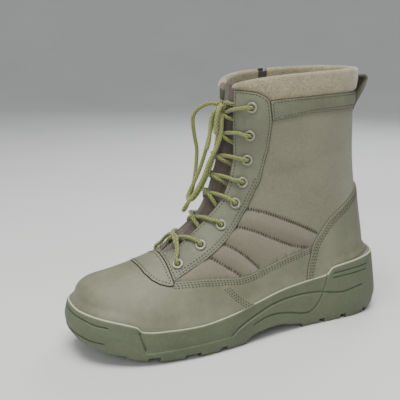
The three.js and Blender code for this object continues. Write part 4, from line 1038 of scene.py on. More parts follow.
def make_lace_run():
    routes = [lace_strand(index, hand) for index in range(1, EYELETS) for hand in (-1, 1)]
    routes += [low_bar(), top_end(-1), top_end(1)]
    run = joined_tubes("lace_run", [smooth_path(route, 0.75)[0] for route in routes], TIGHT_LACE, sides=12)
    nodes = [f"lace_cross_{k + 1}" for k in range(EYELETS - 1)] + ["lace_top_lateral", "lace_top_medial"]
    finish_piece(run, "lace", *nodes)


def make_knot():
    """A soft overhand knot: two turns round a core."""
    centre = np.array(KNOT_PLACE, float)
    reach = KNOT - LACE * 0.42
    routes = [
        [
            centre + [
                reach * 0.855 * math.cos(angle), reach * 1.15 * math.sin(angle),
                lift + reach * tilt * math.sin(angle + 0.7),
            ]
            for angle in np.linspace(0, 2 * math.pi, 15)
        ]
        for tilt, lift in ((0.5, 1.5), (-0.45, -1.4))
    ]
    routes.append([centre + step for step in KNOT_CORE])
    paths = [smooth_path(route, 0.7)[0] for route in routes]
    finish_piece(joined_tubes("bow_knot", paths, TIGHT_LACE, sides=12), "lace", "lace_knot")


make_lace_run()
make_knot()


# Skin with the fields that every piece reads

skin = base_skin()


def measure():
    """Gives the skin its distances from the throat and inside the apron."""
    station = skin.values["station"]
    across, height = skin.points[:, 1], skin.points[:, 2]
    round_end = np.clip((station - THROAT_FROM) / THROAT_ROUND, 0, 1)
    half = THROAT_HALF * np.sqrt(np.clip(1 - (1 - round_end) ** 2, 0, 1))
    beside = np.abs(across - ridge_y(station)) - half
    ahead = (THROAT_FROM - station) * THROAT_STEP
    throat = np.where(station < THROAT_FROM, np.maximum(ahead, np.abs(beside)), beside)
    at_back = (skin.values["girth"] > BACK_GIRTH) & (station >= THROAT_FROM)
    skin.values["throat"] = np.where(at_back, FAR, throat)
    skin.values["z"] = height.copy()
    ridge = [0, APRON_RIDGE * BALL_WIDTH]
    edge = np.array(APRON_EDGE) * [SOLE_LENGTH, BALL_WIDTH]
    outline = np.vstack([edge + ridge, edge[-2::-1] * [1, -1] + ridge])
    apron = np.where(height > level(0.4), inside_distance(skin.points[:, :2], outline), NOT_APRON)
    skin.values["apron"] = true_distance(skin, apron)


measure()
HEEL_END = 0.54 * SOLE_LENGTH
TOE_END = -0.6 * SOLE_LENGTH
APRON_X = APRON_REAR * SOLE_LENGTH
ZIP_FOOT = level(0.87)


def field(outline):
    """Distance inside a panel's outline in the side view."""
    inside = inside_distance(skin.points[:, [0, 2]], np.array(outline, float))
    return true_distance(skin, inside) - GAP / 2


def skin_inside(distance):
    """The part of the skin where a distance is positive."""
    work = Skin(skin.points, skin.normals, skin.triangles, dict(skin.values, edge=distance))
    return cut(work.only(distance > -4), "edge")


def panel_skin(distance, throat=False, hand=0):
    """The part of the skin inside a panel, with contour rows for its rounded edge and its seams."""
    if throat:
        distance = np.minimum(distance, skin.values["throat"])
    if hand:
        distance = np.minimum(distance, hand * skin.points[:, 1] - GAP / 2)
    return with_rows(skin_inside(distance), "edge", EDGE_ROWS)


def with_rows(work, name, rows):
    """Splits a skin's triangles along rows of a number."""
    for row in rows:
        work = cut(work, name, row, drop=False)
    return work


def rounded(edge, thickness, radius=1.2):
    """Height of a panel with a rounded, skived edge."""
    t = np.clip(edge / radius, 0, 1)
    return thickness * (0.35 + 0.65 * np.sqrt(np.clip(1 - (1 - t) ** 2, 0, 1)))


def seam_groove(edge, rows, depth=0.28, width=0.55):
    return -depth * sum(hump(edge - row, width) for row in rows)


def contour(work, name, at):
    """Smooth runs of points where a number passes a value, with normals, from the triangles."""
    height = work.values[name] - at
    height = np.where(np.abs(height) < 1e-5, 1e-5, height)
    tri = work.triangles
    pieces = {}
    up = height[tri] > 0
    mixed = tri[(up.sum(1) % 3) != 0]
    for face in mixed.tolist():
        ends = []
        for k in range(3):
            i, j = face[k], face[(k + 1) % 3]
            if (height[i] > 0) != (height[j] > 0):
                ends.append((min(i, j), max(i, j)))
        if len(ends) == 2:
            pieces.setdefault(ends[0], []).append(ends[1])
            pieces.setdefault(ends[1], []).append(ends[0])
    runs = []
    seen = set()
    starts = [key for key, near in pieces.items() if len(near) == 1] + list(pieces)
    for start in starts:
        if start in seen:
            continue
        run = [start]
        seen.add(start)
        while True:
            following = [key for key in pieces[run[-1]] if key not in seen]
            if not following:
                break
            run.append(following[0])
            seen.add(following[0])
        if len(run) > 4:
            runs.append(run)
    found = []
    for run in runs:
        first, second = np.array(run).T
        share = (height[first] / (height[first] - height[second]))[:, None]
        points = work.points[first] * (1 - share) + work.points[second] * share
        normals = work.normals[first] * (1 - share) + work.normals[second] * share
        found.append((points, unit(normals)))
    return found


def stitches_on(points, normals, offset):
    """Middle, run, normal and length of each stitch along a run."""
    lengths = run_lengths(points)
    if lengths[-1] < 2 * STITCH_PITCH:
        return []
    places = np.arange(STITCH_PITCH / 2, lengths[-1] - STITCH_PITCH / 2, STITCH_PITCH)
    middles, ahead, behind = (
        rows_between(places + share * STITCH_LENGTH, lengths, points) for share in (0, 0.5, -0.5)
    )
    return [
        (middle + normal * offset, run, normal, STITCH_LENGTH)
        for middle, run, normal in zip(middles, ahead - behind, rows_between(places, lengths, normals))
    ]


def stitch_mesh(name, stitches, slot):
    """All the stitches of a piece as one mesh of small six-sided grains."""
    angles = np.arange(6) * math.pi / 3
    faces = tube_faces(len(STITCH_PROFILE), 6)
    grains = []
    for middle, along, normal, length in stitches:
        along = unit(along)
        across = unit(np.cross(normal, along))
        normal = np.cross(along, across)
        grains.append((np.array([
            middle + along * place * length - normal * STITCH_RADIUS * 3.6 * place * place
            + (across * math.cos(angle) + normal * math.sin(angle)) * STITCH_RADIUS * size
            for place, size in STITCH_PROFILE for angle in angles
        ]), faces))
    finish_piece(add_mesh(name, *joined(grains), THREAD), slot)


def seam_stitches(work, off, rows, keep=None, name="edge"):
    """Stitches along rows of a panel's outer face, except where keep says no."""
    face = Skin(work.points + work.normals * off[:, None], work.normals, work.triangles, work.values)
    made = []
    for row in rows:
        for points, normals in contour(face, name, row):
            made += stitches_on(points, normals, STITCH_RISE)
    return [s for s in made if keep is None or keep(s[0])]


def sew_panel(name, node, work, off, stitches, inner=GAP, material=STAY_LEATHER, slot="leather"):
    """A panel between two offsets of its skin, and its stitches."""
    values = {"edge": work.values["edge"]} if slot == "leather" else None
    finish_piece(thick(f"{name}_{slot}", work, off, inner, material, values), slot, node)
    stitch_mesh(f"{name}_stitches", stitches, slot)


def vamp_outline():
    line = side(VAMP_LINE)
    low = side(COUNTER_LOW)
    start = [[TOE_END, -20], [TOE_END, level(1.2)], [APRON_X, level(1.2)], [APRON_X, line[0][1]]]
    return np.vstack([start, line, low[::-1][1:]])


def stay_outline():
    top = side(STAY_TOP)
    front = [[top[1][0], level(1.86)], [TOE_END, level(1.4)], [TOE_END, side(VAMP_LINE)[0][1]]]
    return np.vstack([side(STAY_REAR), top[:1], front])


def counter_outline():
    low, high = side(COUNTER_LOW), side(COUNTER_HIGH)
    return np.vstack([low, high[1:], [[HEEL_END, low[0][1]]]])


def creases(points, table):
    """Soft troughs across the panel: x, z, length, width, lean in degrees, depth."""
    total = np.zeros(len(points))
    for x, z, length, width, lean, depth in table:
        angle = math.radians(lean)
        dx, dz = points[:, 0] - x * SOLE_LENGTH, points[:, 2] - level(z)
        along = dx * math.cos(angle) + dz * math.sin(angle)
        across = -dx * math.sin(angle) + dz * math.cos(angle)
        total -= depth * hump(across, width) * hump(along, length)
        total += 0.45 * depth * hump(across - 1.9 * width, width * 1.2) * hump(along, length)
    return total


def above_floor(work):
    return work.only(work.points[:, 2] > floor_at(work.points[:, 0]) + 1)


def make_vamp():
    distance = np.minimum(field(vamp_outline()), -skin.values["apron"] - GAP / 2)
    work = above_floor(panel_skin(distance))
    work.values["seam"] = foxing_side(work.points[:, [0, 2]])
    work = with_rows(work, "seam", (-0.6, 0.0, 0.6, *FOXING_ROWS))
    work.values["top"] = true_distance(work, line_distance(work.points[:, [0, 2]], side(VAMP_LINE)))
    work = with_rows(work, "top", VAMP_ROWS)
    seam, top = work.values["seam"], work.values["top"]
    off = GAP + rounded(work.values["edge"], PANEL) + seam_groove(top, VAMP_ROWS, 0.24)
    step = smooth((seam + 0.3) / 0.6) * smooth((top - 7) / 2)
    off += 0.7 * step * smooth((16 - seam) / 12) + step * seam_groove(seam, FOXING_ROWS, 0.24)
    below = work.points[:, 2] < height_at(VAMP_LINE, work.points[:, 0]) + 40
    off += creases(work.points, VAMP_CREASES) * below + rim_swell(work.points)
    stitches = seam_stitches(work, off, VAMP_ROWS, above_sole, "top")
    stitches += seam_stitches(work, off, FOXING_ROWS, below_vamp_line, "seam")
    sew_panel("vamp", "vamp", work, off, stitches, material=LEATHER)


def foxing_side(flat):
    """Signed distance from the foxing seam, positive ahead of it."""
    line = side(FOXING_SEAM)
    distance = line_distance(flat, line)
    seam_x = np.interp(flat[:, 1], line[::-1, 1], line[::-1, 0])
    return np.where(flat[:, 0] < seam_x, distance, -distance)


def sole_heights(column, scale):
    """A column of heights of the sole's table, read at any x."""
    table = np.array(SOLE_ROWS)
    return lambda x: np.interp(x, table[:, 0] * SOLE_LENGTH, table[:, column] * scale)


rim_at = sole_heights(3, RIM_HEIGHT)
floor_at = sole_heights(4, FLOOR_HEIGHT)
ground_at = sole_heights(5, TOE_SPRING)


def sole_ring_table(count):
    """Even places round the sole's outline: x, y, rim, ground and the middle's y."""
    rows = np.array(SOLE_ROWS) * [
        SOLE_LENGTH, BALL_WIDTH, BALL_WIDTH, RIM_HEIGHT, FLOOR_HEIGHT, TOE_SPRING,
    ]
    x, outer, inner, rim, _, ground = smooth_rows(rows, np.linspace(0, len(rows) - 1, 400), rows[0]).T
    outer, inner = (
        np.column_stack([x, y, rim, np.maximum(ground, 0), (outer + inner) / 2]) for y in (outer, inner)
    )
    loop = np.vstack([outer, inner[-2:0:-1], outer[:1]])
    lengths = run_lengths(loop[:, :2])
    return rows_between(np.arange(count) * lengths[-1] / count, lengths, loop)


def wall_shape(rise):
    table = np.array(WALL_ROWS)
    linear = rows_between(rise, table[:, 0], table[:, 1:])
    index = np.interp(rise, table[:, 0], np.arange(len(table)))
    return 0.5 * linear + 0.5 * smooth_rows(table, index, table[0])[:, 1:]


def wall_ring(ring, shares, rise):
    """One ring of the sole's wall at a rise."""
    side_share, toe_share, heel_share = shares
    x, y, rim, ground, middle = ring.T
    end = np.where(x < 0, toe_share * TOE_TUCK, heel_share * HEEL_TUCK)
    share = np.clip(1 - (1 - 2 * np.abs(x) / SOLE_LENGTH) / END_SHARE, 0, 1) ** 2
    narrow = 1 - 2 * side_share * SIDE_TUCK / BALL_WIDTH
    return np.column_stack([
        x - np.sign(x) * end * share, middle + (y - middle) * narrow, ground + (rim - ground) * rise,
    ])


RIM_RING = wall_ring(sole_ring_table(200), wall_shape(np.array([1.0]))[0], 1.0)


def rim_swell(points):
    """The upper swells where it meets the rim of the sole, as far as there is room."""
    rim, height = rim_at(points[:, 0]), points[:, 2]
    room = inside_distance(points[:, :2], RIM_RING[:, :2]) - GAP - PANEL - 1.2
    return np.clip(room, 0, 4.5) * smooth((rim + 8 - height) / 9) * smooth((height - rim + 5) / 4)


def above_sole(point):
    return point[2] > rim_at(point[0]) - 1.5


def below_vamp_line(point):
    """True clear of the rows along the vamp's upper edge."""
    near = line_distance(point[None, [0, 2]], side(VAMP_LINE))[0]
    return above_sole(point) and near > VAMP_ROWS[-1] + 2


def stay_second_row(point):
    """True where the stay has a second row: low down and clear of the throat."""
    return abs(point[1]) > THROAT_HALF + 8 and point[2] < STAY_ROW_TOP


def make_apron():
    work = panel_skin(skin.values["apron"] - GAP / 2, throat=True)
    edge = work.values["edge"]
    off = GAP + 0.35 + rounded(edge, PANEL) + seam_groove(edge, (2.6,))
    sew_panel("apron", "throat_apron", work, off, seam_stitches(work, off, (2.6,)), material=LEATHER)


def eyelet_holes(work, hand):
    """Distance from the nearest eyelet's middle."""
    centres = [last_point(*eyelet_place(index, hand)[:2]) for index in range(EYELETS)]
    nearest = np.min([np.linalg.norm(work.points - centre, axis=1) for centre in centres], axis=0)
    return np.minimum(nearest, FAR)


def make_stay(hand, word):
    distance = np.minimum(field(stay_outline()), skin.points[:, 0] - (APRON_X + GAP / 2))
    work = panel_skin(distance, throat=True, hand=hand)
    work.values["hole"] = eyelet_holes(work, hand) - 2.6
    work = cut(cut(work, "hole"), "hole", 3.2, drop=False)
    edge = work.values["edge"]
    off = GAP + rounded(edge, PANEL) + seam_groove(edge, (2.1,), 0.25)
    off -= 0.35 * hump(work.values["hole"] - 2.4, 1.4)
    off += 0.18 * hump(edge - 21, 9) * np.sin(work.points[:, 2] / 7.0)
    inner = np.where(work.values["throat"] < 0.6, -UPPER_WALL, GAP)
    stitches = seam_stitches(work, off, (2.1,)) + seam_stitches(work, off, (4.9,), stay_second_row)
    sew_panel(f"stay_{word}", f"eyestay_{word}", work, off, stitches, inner)


def make_counter():
    work = above_floor(panel_skin(field(counter_outline())))
    edge = work.values["edge"]
    off = GAP + rounded(edge, PANEL) + seam_groove(edge, COUNTER_ROWS, 0.22) + rim_swell(work.points)
    stitches = seam_stitches(work, off, COUNTER_ROWS, above_sole)
    sew_panel("counter", "counter", work, off, stitches, material=LEATHER)


def strip_distance():
    """Distance inside the back strip."""
    inside = BACKSTAY_WIDTH / 2 - np.abs(skin.points[:, 1])
    return np.where(skin.points[:, 0] > BACK_FROM * SOLE_LENGTH, inside, -FAR)


def band_outline():
    return np.vstack([side(BAND_LINE), side(PAD_LINE)[::-1]])


def make_backstay():
    outline = np.vstack([side(COUNTER_HIGH)[2:], side(PAD_LINE)[::-1][:3]])
    work = panel_skin(np.minimum(field(outline), strip_distance() - GAP / 2))
    edge = work.values["edge"]
    off = GAP + rounded(edge, PANEL, 0.8) + seam_groove(edge, (1.6,), 0.2)
    stitches = seam_stitches(work, off, (1.8,))
    sew_panel("backstay", "backstay", work, off, stitches, material=WEBBING, slot="webbing")


def make_bands():
    for hand, word in ((-1, "lateral"), (1, "medial")):
        distance = np.minimum(field(band_outline()), -strip_distance() - GAP / 2)
        if hand > 0:
            distance = np.minimum(distance, skin.points[:, 0] - (TAB_REAR * SOLE_LENGTH + GAP))
        work = panel_skin(distance, hand=hand)
        edge = work.values["edge"]
        off = GAP + rounded(edge, PANEL) + seam_groove(edge, (2.1,), 0.22)
        if hand < 0:
            off += 0.25 * hump(edge - 8, 4)
        sew_panel(f"band_{word}", f"collar_band_{word}", work, off, seam_stitches(work, off, (2.1,)))


def make_storm_tab():
    xs = np.array([TAB_FRONT * SOLE_LENGTH, ZIP_X, TAB_REAR * SOLE_LENGTH])
    foot = np.column_stack([xs, height_at(BAND_LINE, xs) - 2])
    head = np.column_stack([xs, height_at(PAD_LINE, xs)])[::-1]
    work = panel_skin(field(np.vstack([foot, head])), hand=1)
    edge = work.values["edge"]
    near = smooth((14.5 - np.abs(work.points[:, 0] - ZIP_X)) / 3.5)
    off = GAP + rounded(edge, PANEL) + 2.95 * near + seam_groove(edge, TAB_ROWS, 0.22) * (1 - near)
    sew_panel("storm_tab", "storm_tab", work, off, seam_stitches(work, off, TAB_ROWS), GAP + 2.9 * near)


def make_upper():
    """The fabric shell, quilted low on its sides, with its dark lining inside."""
    x, z = skin.points[:, 0], skin.points[:, 2]
    values = dict(skin.values, rim=height_at(RIM_LINE, x) - COLLAR_PAD - z, low=z - floor_at(x) - GAP)
    work = Skin(skin.points, skin.normals, skin.triangles, values)
    for name in ("rim", "low", "throat"):
        work = cut(work, name)
    flat = work.points[:, [0, 2]]
    work.values["channel"] = np.min([line_distance(flat, side(line)) for line in QUILT_LINES], axis=0)
    work.values["channel"] = np.minimum(work.values["channel"], FAR)
    work = with_rows(work, "channel", (3.2, 1.7, 0.7))
    work.values["hole"] = np.minimum(eyelet_holes(work, -1), eyelet_holes(work, 1)) - 3.0
    work = cut(work, "hole")
    channel = work.values["channel"]
    off = -1.5 * hump(channel, 1.5) - 0.4 * hump(channel, 4.5)
    zone = quilted_zone(work.points)
    off += zone * 1.7 * smooth(channel / 10.0) * (channel < FAR - 1)
    off += fabric_waves(work.points) * (1 - zone)
    off = np.where(covered_by_panels(work), np.minimum(off, 0.1), off)
    obj = thick("upper_fabric", work, off, -UPPER_WALL, NYLON, {"zone": zone})
    obj.data.materials.append(LINING)
    corner = np.array([polygon.vertices[0] for polygon in obj.data.polygons])
    lining = (corner >= len(work.points)).astype(np.int32)
    obj.data.polygons.foreach_set("material_index", lining)
    finish_piece(obj, "nylon", "upper")
    quilt_stitches(work)


def quilted_zone(points):
    """1 over the low quilted stretch of both sides, 0 above it."""
    return smooth((height_at(QUILT_LINES[0], points[:, 0]) + 2 - points[:, 2]) / 4)


def fabric_waves(points):
    return creases(points, FABRIC_CREASES) + 0.25 * np.sin(points[:, 0] / 17) * np.sin(points[:, 2] / 23)


def covered_by_panels(work):
    flat = work.points[:, [0, 2]]
    inside = np.zeros(len(flat), bool)
    for outline in (vamp_outline(), stay_outline(), counter_outline(), band_outline()):
        inside |= inside_distance(flat, outline) > 0
    tape = (work.points[:, 1] > 0) & (np.abs(work.points[:, 0] - ZIP_X) < 11) & (flat[:, 1] > level(0.84))
    return inside | tape


def quilt_stitches(work):
    """Stitches that cross each quilting channel, as in a padded seam."""
    made = []
    hidden = (vamp_outline(), stay_outline(), counter_outline())
    for line in QUILT_LINES:
        path, _ = smooth_path(np.insert(side(line), 1, 0, axis=1), 2.3)
        flat = path[:, [0, 2]]
        free = np.all([inside_distance(flat, outline) < -0.5 for outline in hidden], axis=0)
        for hand in (-1, 1):
            near = work.points[:, 1] * hand > 10
            place = work.points[near]
            for k in np.flatnonzero(free):
                best = np.argmin(((place[:, [0, 2]] - flat[k]) ** 2).sum(1))
                normal = work.normals[near][best]
                middle = np.array([flat[k][0], place[best][1], flat[k][1]]) - normal * 0.75
                run = flat[min(k + 1, len(flat) - 1)] - flat[max(k - 1, 0)]
                made.append((middle, np.array([-run[1], 0, run[0]]), normal, QUILT_STITCH))
    stitch_mesh("quilting_stitches", made, "nylon")


def make_rolled_collar():
    """Padded collar in two pieces, from its sewn foot over the rim and down inside."""
    columns = -1 + 2 * np.arange(COLLAR_COLUMNS) / COLLAR_COLUMNS

    def station_at(line, shift):
        """The station at which each column passes a side view line."""
        low, high = np.full(COLLAR_COLUMNS, 11.0), np.full(COLLAR_COLUMNS, float(LAST_TOP))
        for _ in range(28):
            middle = (low + high) / 2
            point = last_point(middle, columns)
            under = point[:, 2] < np.interp(point[:, 0], *line.T) + shift
            low, high = np.where(under, middle, low), np.where(under, high, middle)
        return low

    foot_line = np.vstack([side(STAY_TOP)[::-1], side(STAY_REAR)[:8:-1], side(PAD_LINE)[1:]])
    foot = station_at(foot_line, GAP / 2)
    brow, inside = (station_at(side(RIM_LINE), shift) for shift in (-3.3, -27.0))
    outer_off, inner_off = GAP + COLLAR_PAD, -(UPPER_WALL + GAP + 1.4)
    centre, radius = (outer_off + inner_off) / 2, (outer_off - inner_off) / 2
    rows = []
    for t in np.linspace(0, 1, 16):
        puff = PANEL * 0.75 + (COLLAR_PAD - PANEL * 0.75) * math.sin(min(t * 1.25, 1) * math.pi / 2) ** 0.7
        puff += 0.35 * math.sin(math.pi * t)
        rows.append((foot + (brow - foot) * t, GAP + puff * (0.25 + 0.75 * min(1, t * 8)), 0.0, t * 20))
    for angle in np.linspace(0, math.pi, 11)[1:-1]:
        lift = radius * math.sin(angle) * 0.95
        rows.append((brow, centre + radius * math.cos(angle), lift, 20 + angle * 3))
    for t in np.linspace(0, 1, 10):
        rows.append((brow + (inside - brow) * t, inner_off * (1 - 0.3 * t), 0.0, 30 + t * 22))
    for t in (0.3, 0.8):
        rows.append((inside, inner_off * 0.7 * (1 - t) - (UPPER_WALL + GAP) * t, 0.0, 52 + t))
    wave = 0.22 * np.sin(columns * 31) * np.sin(columns * 17 + 1)
    points, normals = [], []
    for station, offset, lift, _ in rows:
        normal = last_normal(station, columns)
        rise = unit(last_point(station + 0.05, columns) - last_point(station - 0.05, columns))
        height = (offset + wave * (offset > 1))[:, None]
        points.append(last_point(station, columns) + normal * height + rise * lift)
        normals.append(normal)
    points, count = np.vstack(points), len(rows)
    quads = grid_quads(count, COLLAR_COLUMNS, loop=True)
    triangles = np.concatenate([quads[:, :3], quads[:, [0, 2, 3]]])[:, ::-1]
    x, y = points[:, 0], points[:, 1]
    values = {
        "girth": np.tile(np.arange(COLLAR_COLUMNS) * 1.3, count),
        "run": np.repeat([row[3] for row in rows], COLLAR_COLUMNS),
        "throat": np.where(x > 30, FAR, np.abs(y) - THROAT_HALF),
        "zip": np.where(y > 0, np.abs(x - ZIP_X) - ZIP_SLOT_HALF, FAR),
    }
    whole = cut(cut(Skin(points, np.vstack(normals), triangles, values), "throat"), "zip")
    in_front = (whole.points[:, 1] > 0) & (whole.points[:, 0] < ZIP_X)
    in_front = in_front[whole.triangles].all(1)
    for word, node, chosen in (("rear", "collar_pad", ~in_front), ("front", "collar_pad_medial", in_front)):
        part = whole.packed(whole.triangles[chosen])
        uv = np.stack([part.values["girth"], part.values["run"]], 1)
        obj = add_mesh(f"collar_suede_{word}", part.points, part.triangles, SUEDE, 60, uv, check=True)
        close_holes(obj)
        finish_piece(obj, "collar_suede", node)


def close_holes(obj):
    """Closes the cut ends of a tube and makes its faces point out."""
    work = bmesh.new()
    work.from_mesh(obj.data)
    open_edges = [edge for edge in work.edges if len(edge.link_faces) == 1]
    bmesh.ops.holes_fill(work, edges=open_edges, sides=0)
    bmesh.ops.recalc_face_normals(work, faces=work.faces)
    work.to_mesh(obj.data)
    work.free()
    obj.data.shade_smooth()
    obj.data.set_sharp_from_angle(angle=math.radians(60))


def make_tongue():
    """Padded tongue with rolled side edges and two sewn lines."""
    across, stations = 48, np.arange(4.6, 15.12, 0.075)
    resting = -(UPPER_WALL + 2 * GAP)
    rows = []
    for station in stations:
        front, back = [], []
        for place in np.arange(across + 1) * 2 / across - 1:
            girth = abs(place) * (THROAT_HALF + 12)
            turn = turn_at(station, girth, 1 if place >= 0 else -1)
            open_share = max(1 - girth / (THROAT_HALF - 2), 0)
            raised = resting + (bulge(station) - resting) * min(1.6 * open_share, 1)
            raised -= 0.5 * math.exp(-((girth - 5.5) / 0.8) ** 2) * (open_share > 0)
            raised += 0.35 * open_share * math.sin(station * 4.2 + place * 2)
            front.append((station, turn, raised))
            back.append((station, turn, raised - 3.5 * (1 - 0.5 * place**4)))
        rows.append(front + back[::-1])
    points = surface(*np.moveaxis(np.array(rows), -1, 0))
    rings, around = points.shape[:2]
    there = np.arange(across + 1.0)
    uv = np.column_stack([
        np.tile(np.concatenate([there, there[::-1]]), rings), np.repeat(np.arange(rings) * 1.4, around),
    ])
    obj = add_mesh("tongue_cloth_shaded", points.reshape(-1, 3), tube_faces(rings, around), SHADED_TONGUE_CLOTH, uv=uv)
    close_holes(obj)
    finish_piece(obj, "nylon", "tongue")


def make_eyelets():
    """Rolled rings with a short barrel, one mesh for each side."""
    angles = np.arange(EYELET_SIDES) * 2 * math.pi / EYELET_SIDES
    faces = grid_quads(len(EYELET_PROFILE), EYELET_SIDES, loop=True).tolist()
    crown = np.tile(np.repeat([row[2] for row in EYELET_PROFILE], EYELET_SIDES), EYELETS)
    for hand, word in ((-1, "lateral"), (1, "medial")):
        rings = []
        for index in range(EYELETS):
            station, turn, _ = eyelet_place(index, hand)
            centre, out = last_point(station, turn), last_normal(station, turn)
            across = unit(np.cross(out, [0, 0, 1.0]))
            up = np.cross(out, across)
            rings.append((np.array([
                centre + out * height + (across * math.cos(a) + up * math.sin(a)) * radius
                for radius, height, _ in EYELET_PROFILE for a in angles
            ]), faces))
        points, all_faces = joined(rings)
        obj = add_mesh(f"eyelet_rings_{word}", points, all_faces, ENAMEL, 50, None, {"crown": crown}, True)
        close_holes(obj)
        finish_piece(obj, "eyelet_enamel", *[f"eyelet_{word}_{k + 1}" for k in range(EYELETS)])


# Sole

def sole_line_distance(flat, lines):
    best = np.full(len(flat), FAR)
    for line in lines:
        path, _ = smooth_path(np.column_stack([sole_line(line), np.zeros(len(line))]), 2.0)
        best = np.minimum(best, line_distance(flat, path[:, :2]))
    return best


def make_sole():
    """The outsole: a fine wall with its grooves and panel, a rounded lip, and flat ends to carve."""
    rises = np.linspace(0, 1, WALL_LEVELS)
    ring = sole_ring_table(WALL_COLUMNS)
    wall = np.array([wall_ring(ring, shares, rise) for shares, rise in zip(wall_shape(rises), rises)])
    flat = wall[..., [0, 2]].reshape(-1, 2)
    # Distance from the cut lines: it sets their depth and their painted shade.
    groove_and_shade = sole_line_distance(flat, SOLE_LINES + TOE_LINES)
    depth = 1.0 * np.exp(-((groove_and_shade / 0.8) ** 4))
    depth += 0.85 * smooth((inside_distance(flat, sole_line(WALL_PANEL)) + 0.6) / 1.2)
    out = sole_outward(wall)
    wall = wall - out * depth.reshape(WALL_LEVELS, WALL_COLUMNS, 1)
    rings = [*wall, *(wall[-1] - out[-1] * inset - [0, 0, drop] for inset, drop, _ in LIP_STEPS)]
    # Painted highlight on the lip: pale on the outer top edge only.
    lip_highlight = [*smooth((rises - 0.975) / 0.02), *(highlight_share for _, _, highlight_share in LIP_STEPS)]
    values = {
        "lip_highlight": np.repeat(lip_highlight, WALL_COLUMNS),
        "groove_and_shade": np.append(np.exp(-((groove_and_shade / 0.7) ** 4)), np.zeros(len(LIP_STEPS) * WALL_COLUMNS)),
    }
    faces = grid_quads(len(rings), WALL_COLUMNS).tolist()
    for start, order in ((0, -1), ((len(rings) - 1) * WALL_COLUMNS, 1)):
        for k in range(WALL_COLUMNS // 2):
            across = (k, k + 1, WALL_COLUMNS - k - 1, (WALL_COLUMNS - k) % WALL_COLUMNS)
            face = list(dict.fromkeys(start + corner for corner in across))[::order]
            if len(face) > 2:
                faces.append(face)
    obj = add_mesh("outsole_rubber", np.vstack(rings), faces, RUBBER, values=values)
    close_holes(obj)
    return obj


def sole_outward(points):
    """Level directions out of the sole's wall."""
    around = np.roll(points, -1, axis=1) - np.roll(points, 1, axis=1)
    out = unit(np.stack([around[..., 1], -around[..., 0], np.zeros(around.shape[:2])], -1))
    centre = points.mean(axis=1, keepdims=True)
    facing = ((points - centre) * out).sum(-1).mean()
    return out if facing > 0 else -out


def prism(outline, low, high, axis):
    """A closed solid of an outline, drawn in plan (axis 2) or in the side view (axis 1)."""
    count = len(outline)
    ends = [np.insert(np.array(outline, float), axis, at, axis=1) for at in (low, high)]
    faces = [list(range(count))[::-1], list(range(count, 2 * count))]
    faces += [[k, (k + 1) % count, (k + 1) % count + count, k + count] for k in range(count)]
    return np.vstack(ends), faces


def sole_cutters():
    """Notches, channels and the arch hollow as closed solids."""
    solids = []
    for share, width in NOTCHES:
        x = share * SOLE_LENGTH
        front, back = x - width * LUG_NOTCH / 2, x + width * LUG_NOTCH / 2
        outline = [
            [front, -FAR_OUT], [back, -FAR_OUT], [back, -CHANNEL_Y], [back - CHEVRON, 0],
            [back, CHANNEL_Y], [back, FAR_OUT], [front, FAR_OUT], [front, CHANNEL_Y],
            [front - CHEVRON, 0], [front, -CHANNEL_Y],
        ]
        solids.append(prism(outline, -1, ground_at(x) + LUG_DEPTH, 2))
    for run in CHANNEL_RUNS:
        xs = np.linspace(*run, 9) * SOLE_LENGTH
        outline = [[x, ground_at(x) + LUG_DEPTH * 0.98] for x in xs] + [[xs[-1], -1], [xs[0], -1]]
        for middle in (-CHANNEL_Y, CHANNEL_Y):
            solids.append(prism(outline, middle - CHANNEL / 2, middle + CHANNEL / 2, 1))
    roof = [[x * SOLE_LENGTH, z * ARCH_RISE] for x, z in ARCH]
    solids.append(prism(roof + [[roof[-1][0], -1.2], [roof[0][0], -1.2]], -FAR_OUT, FAR_OUT, 1))
    return solids


def hollow():
    """The last as a closed solid above the floor, for the hollow of the sole."""
    stations = np.concatenate([[0.12, 0.35, 0.65], np.arange(1, 13.1, 0.4)])
    station, turn = np.meshgrid(stations, -1 + 2 * np.arange(72) / 72, indexing="ij")
    points = surface(station, turn, np.full(station.shape, PANEL + 2 * GAP))
    points[..., 2] = np.maximum(points[..., 2], floor_at(points[..., 0]))
    return points.reshape(-1, 3), tube_faces(len(stations), 72)


def carve(obj, points, faces):
    """Cuts a solid from an object for good."""
    cutter = add_mesh("cutter", points, faces)
    close_holes(cutter)
    modifier = obj.modifiers.new("carve", "BOOLEAN")
    modifier.operation = "DIFFERENCE"
    modifier.solver = "EXACT"
    modifier.use_self = True
    modifier.object = cutter
    bake(obj)
    bpy.data.objects.remove(cutter)


def bake(obj):
    """Applies an object's modifiers."""
    bpy.context.view_layer.update()
    graph = bpy.context.evaluated_depsgraph_get()
    mesh = bpy.data.meshes.new_from_object(obj.evaluated_get(graph))
    obj.modifiers.clear()
    obj.data = mesh


def build_sole():
    obj = make_sole()
    carve(obj, *joined(sole_cutters()))
    carve(obj, *hollow())
    if not obj.data.materials:
        obj.data.materials.append(RUBBER)
    obj.data.shade_smooth()
    obj.data.set_sharp_from_angle(angle=math.radians(34))
    finish_piece(obj, "sole_rubber", "outsole")


# Zip

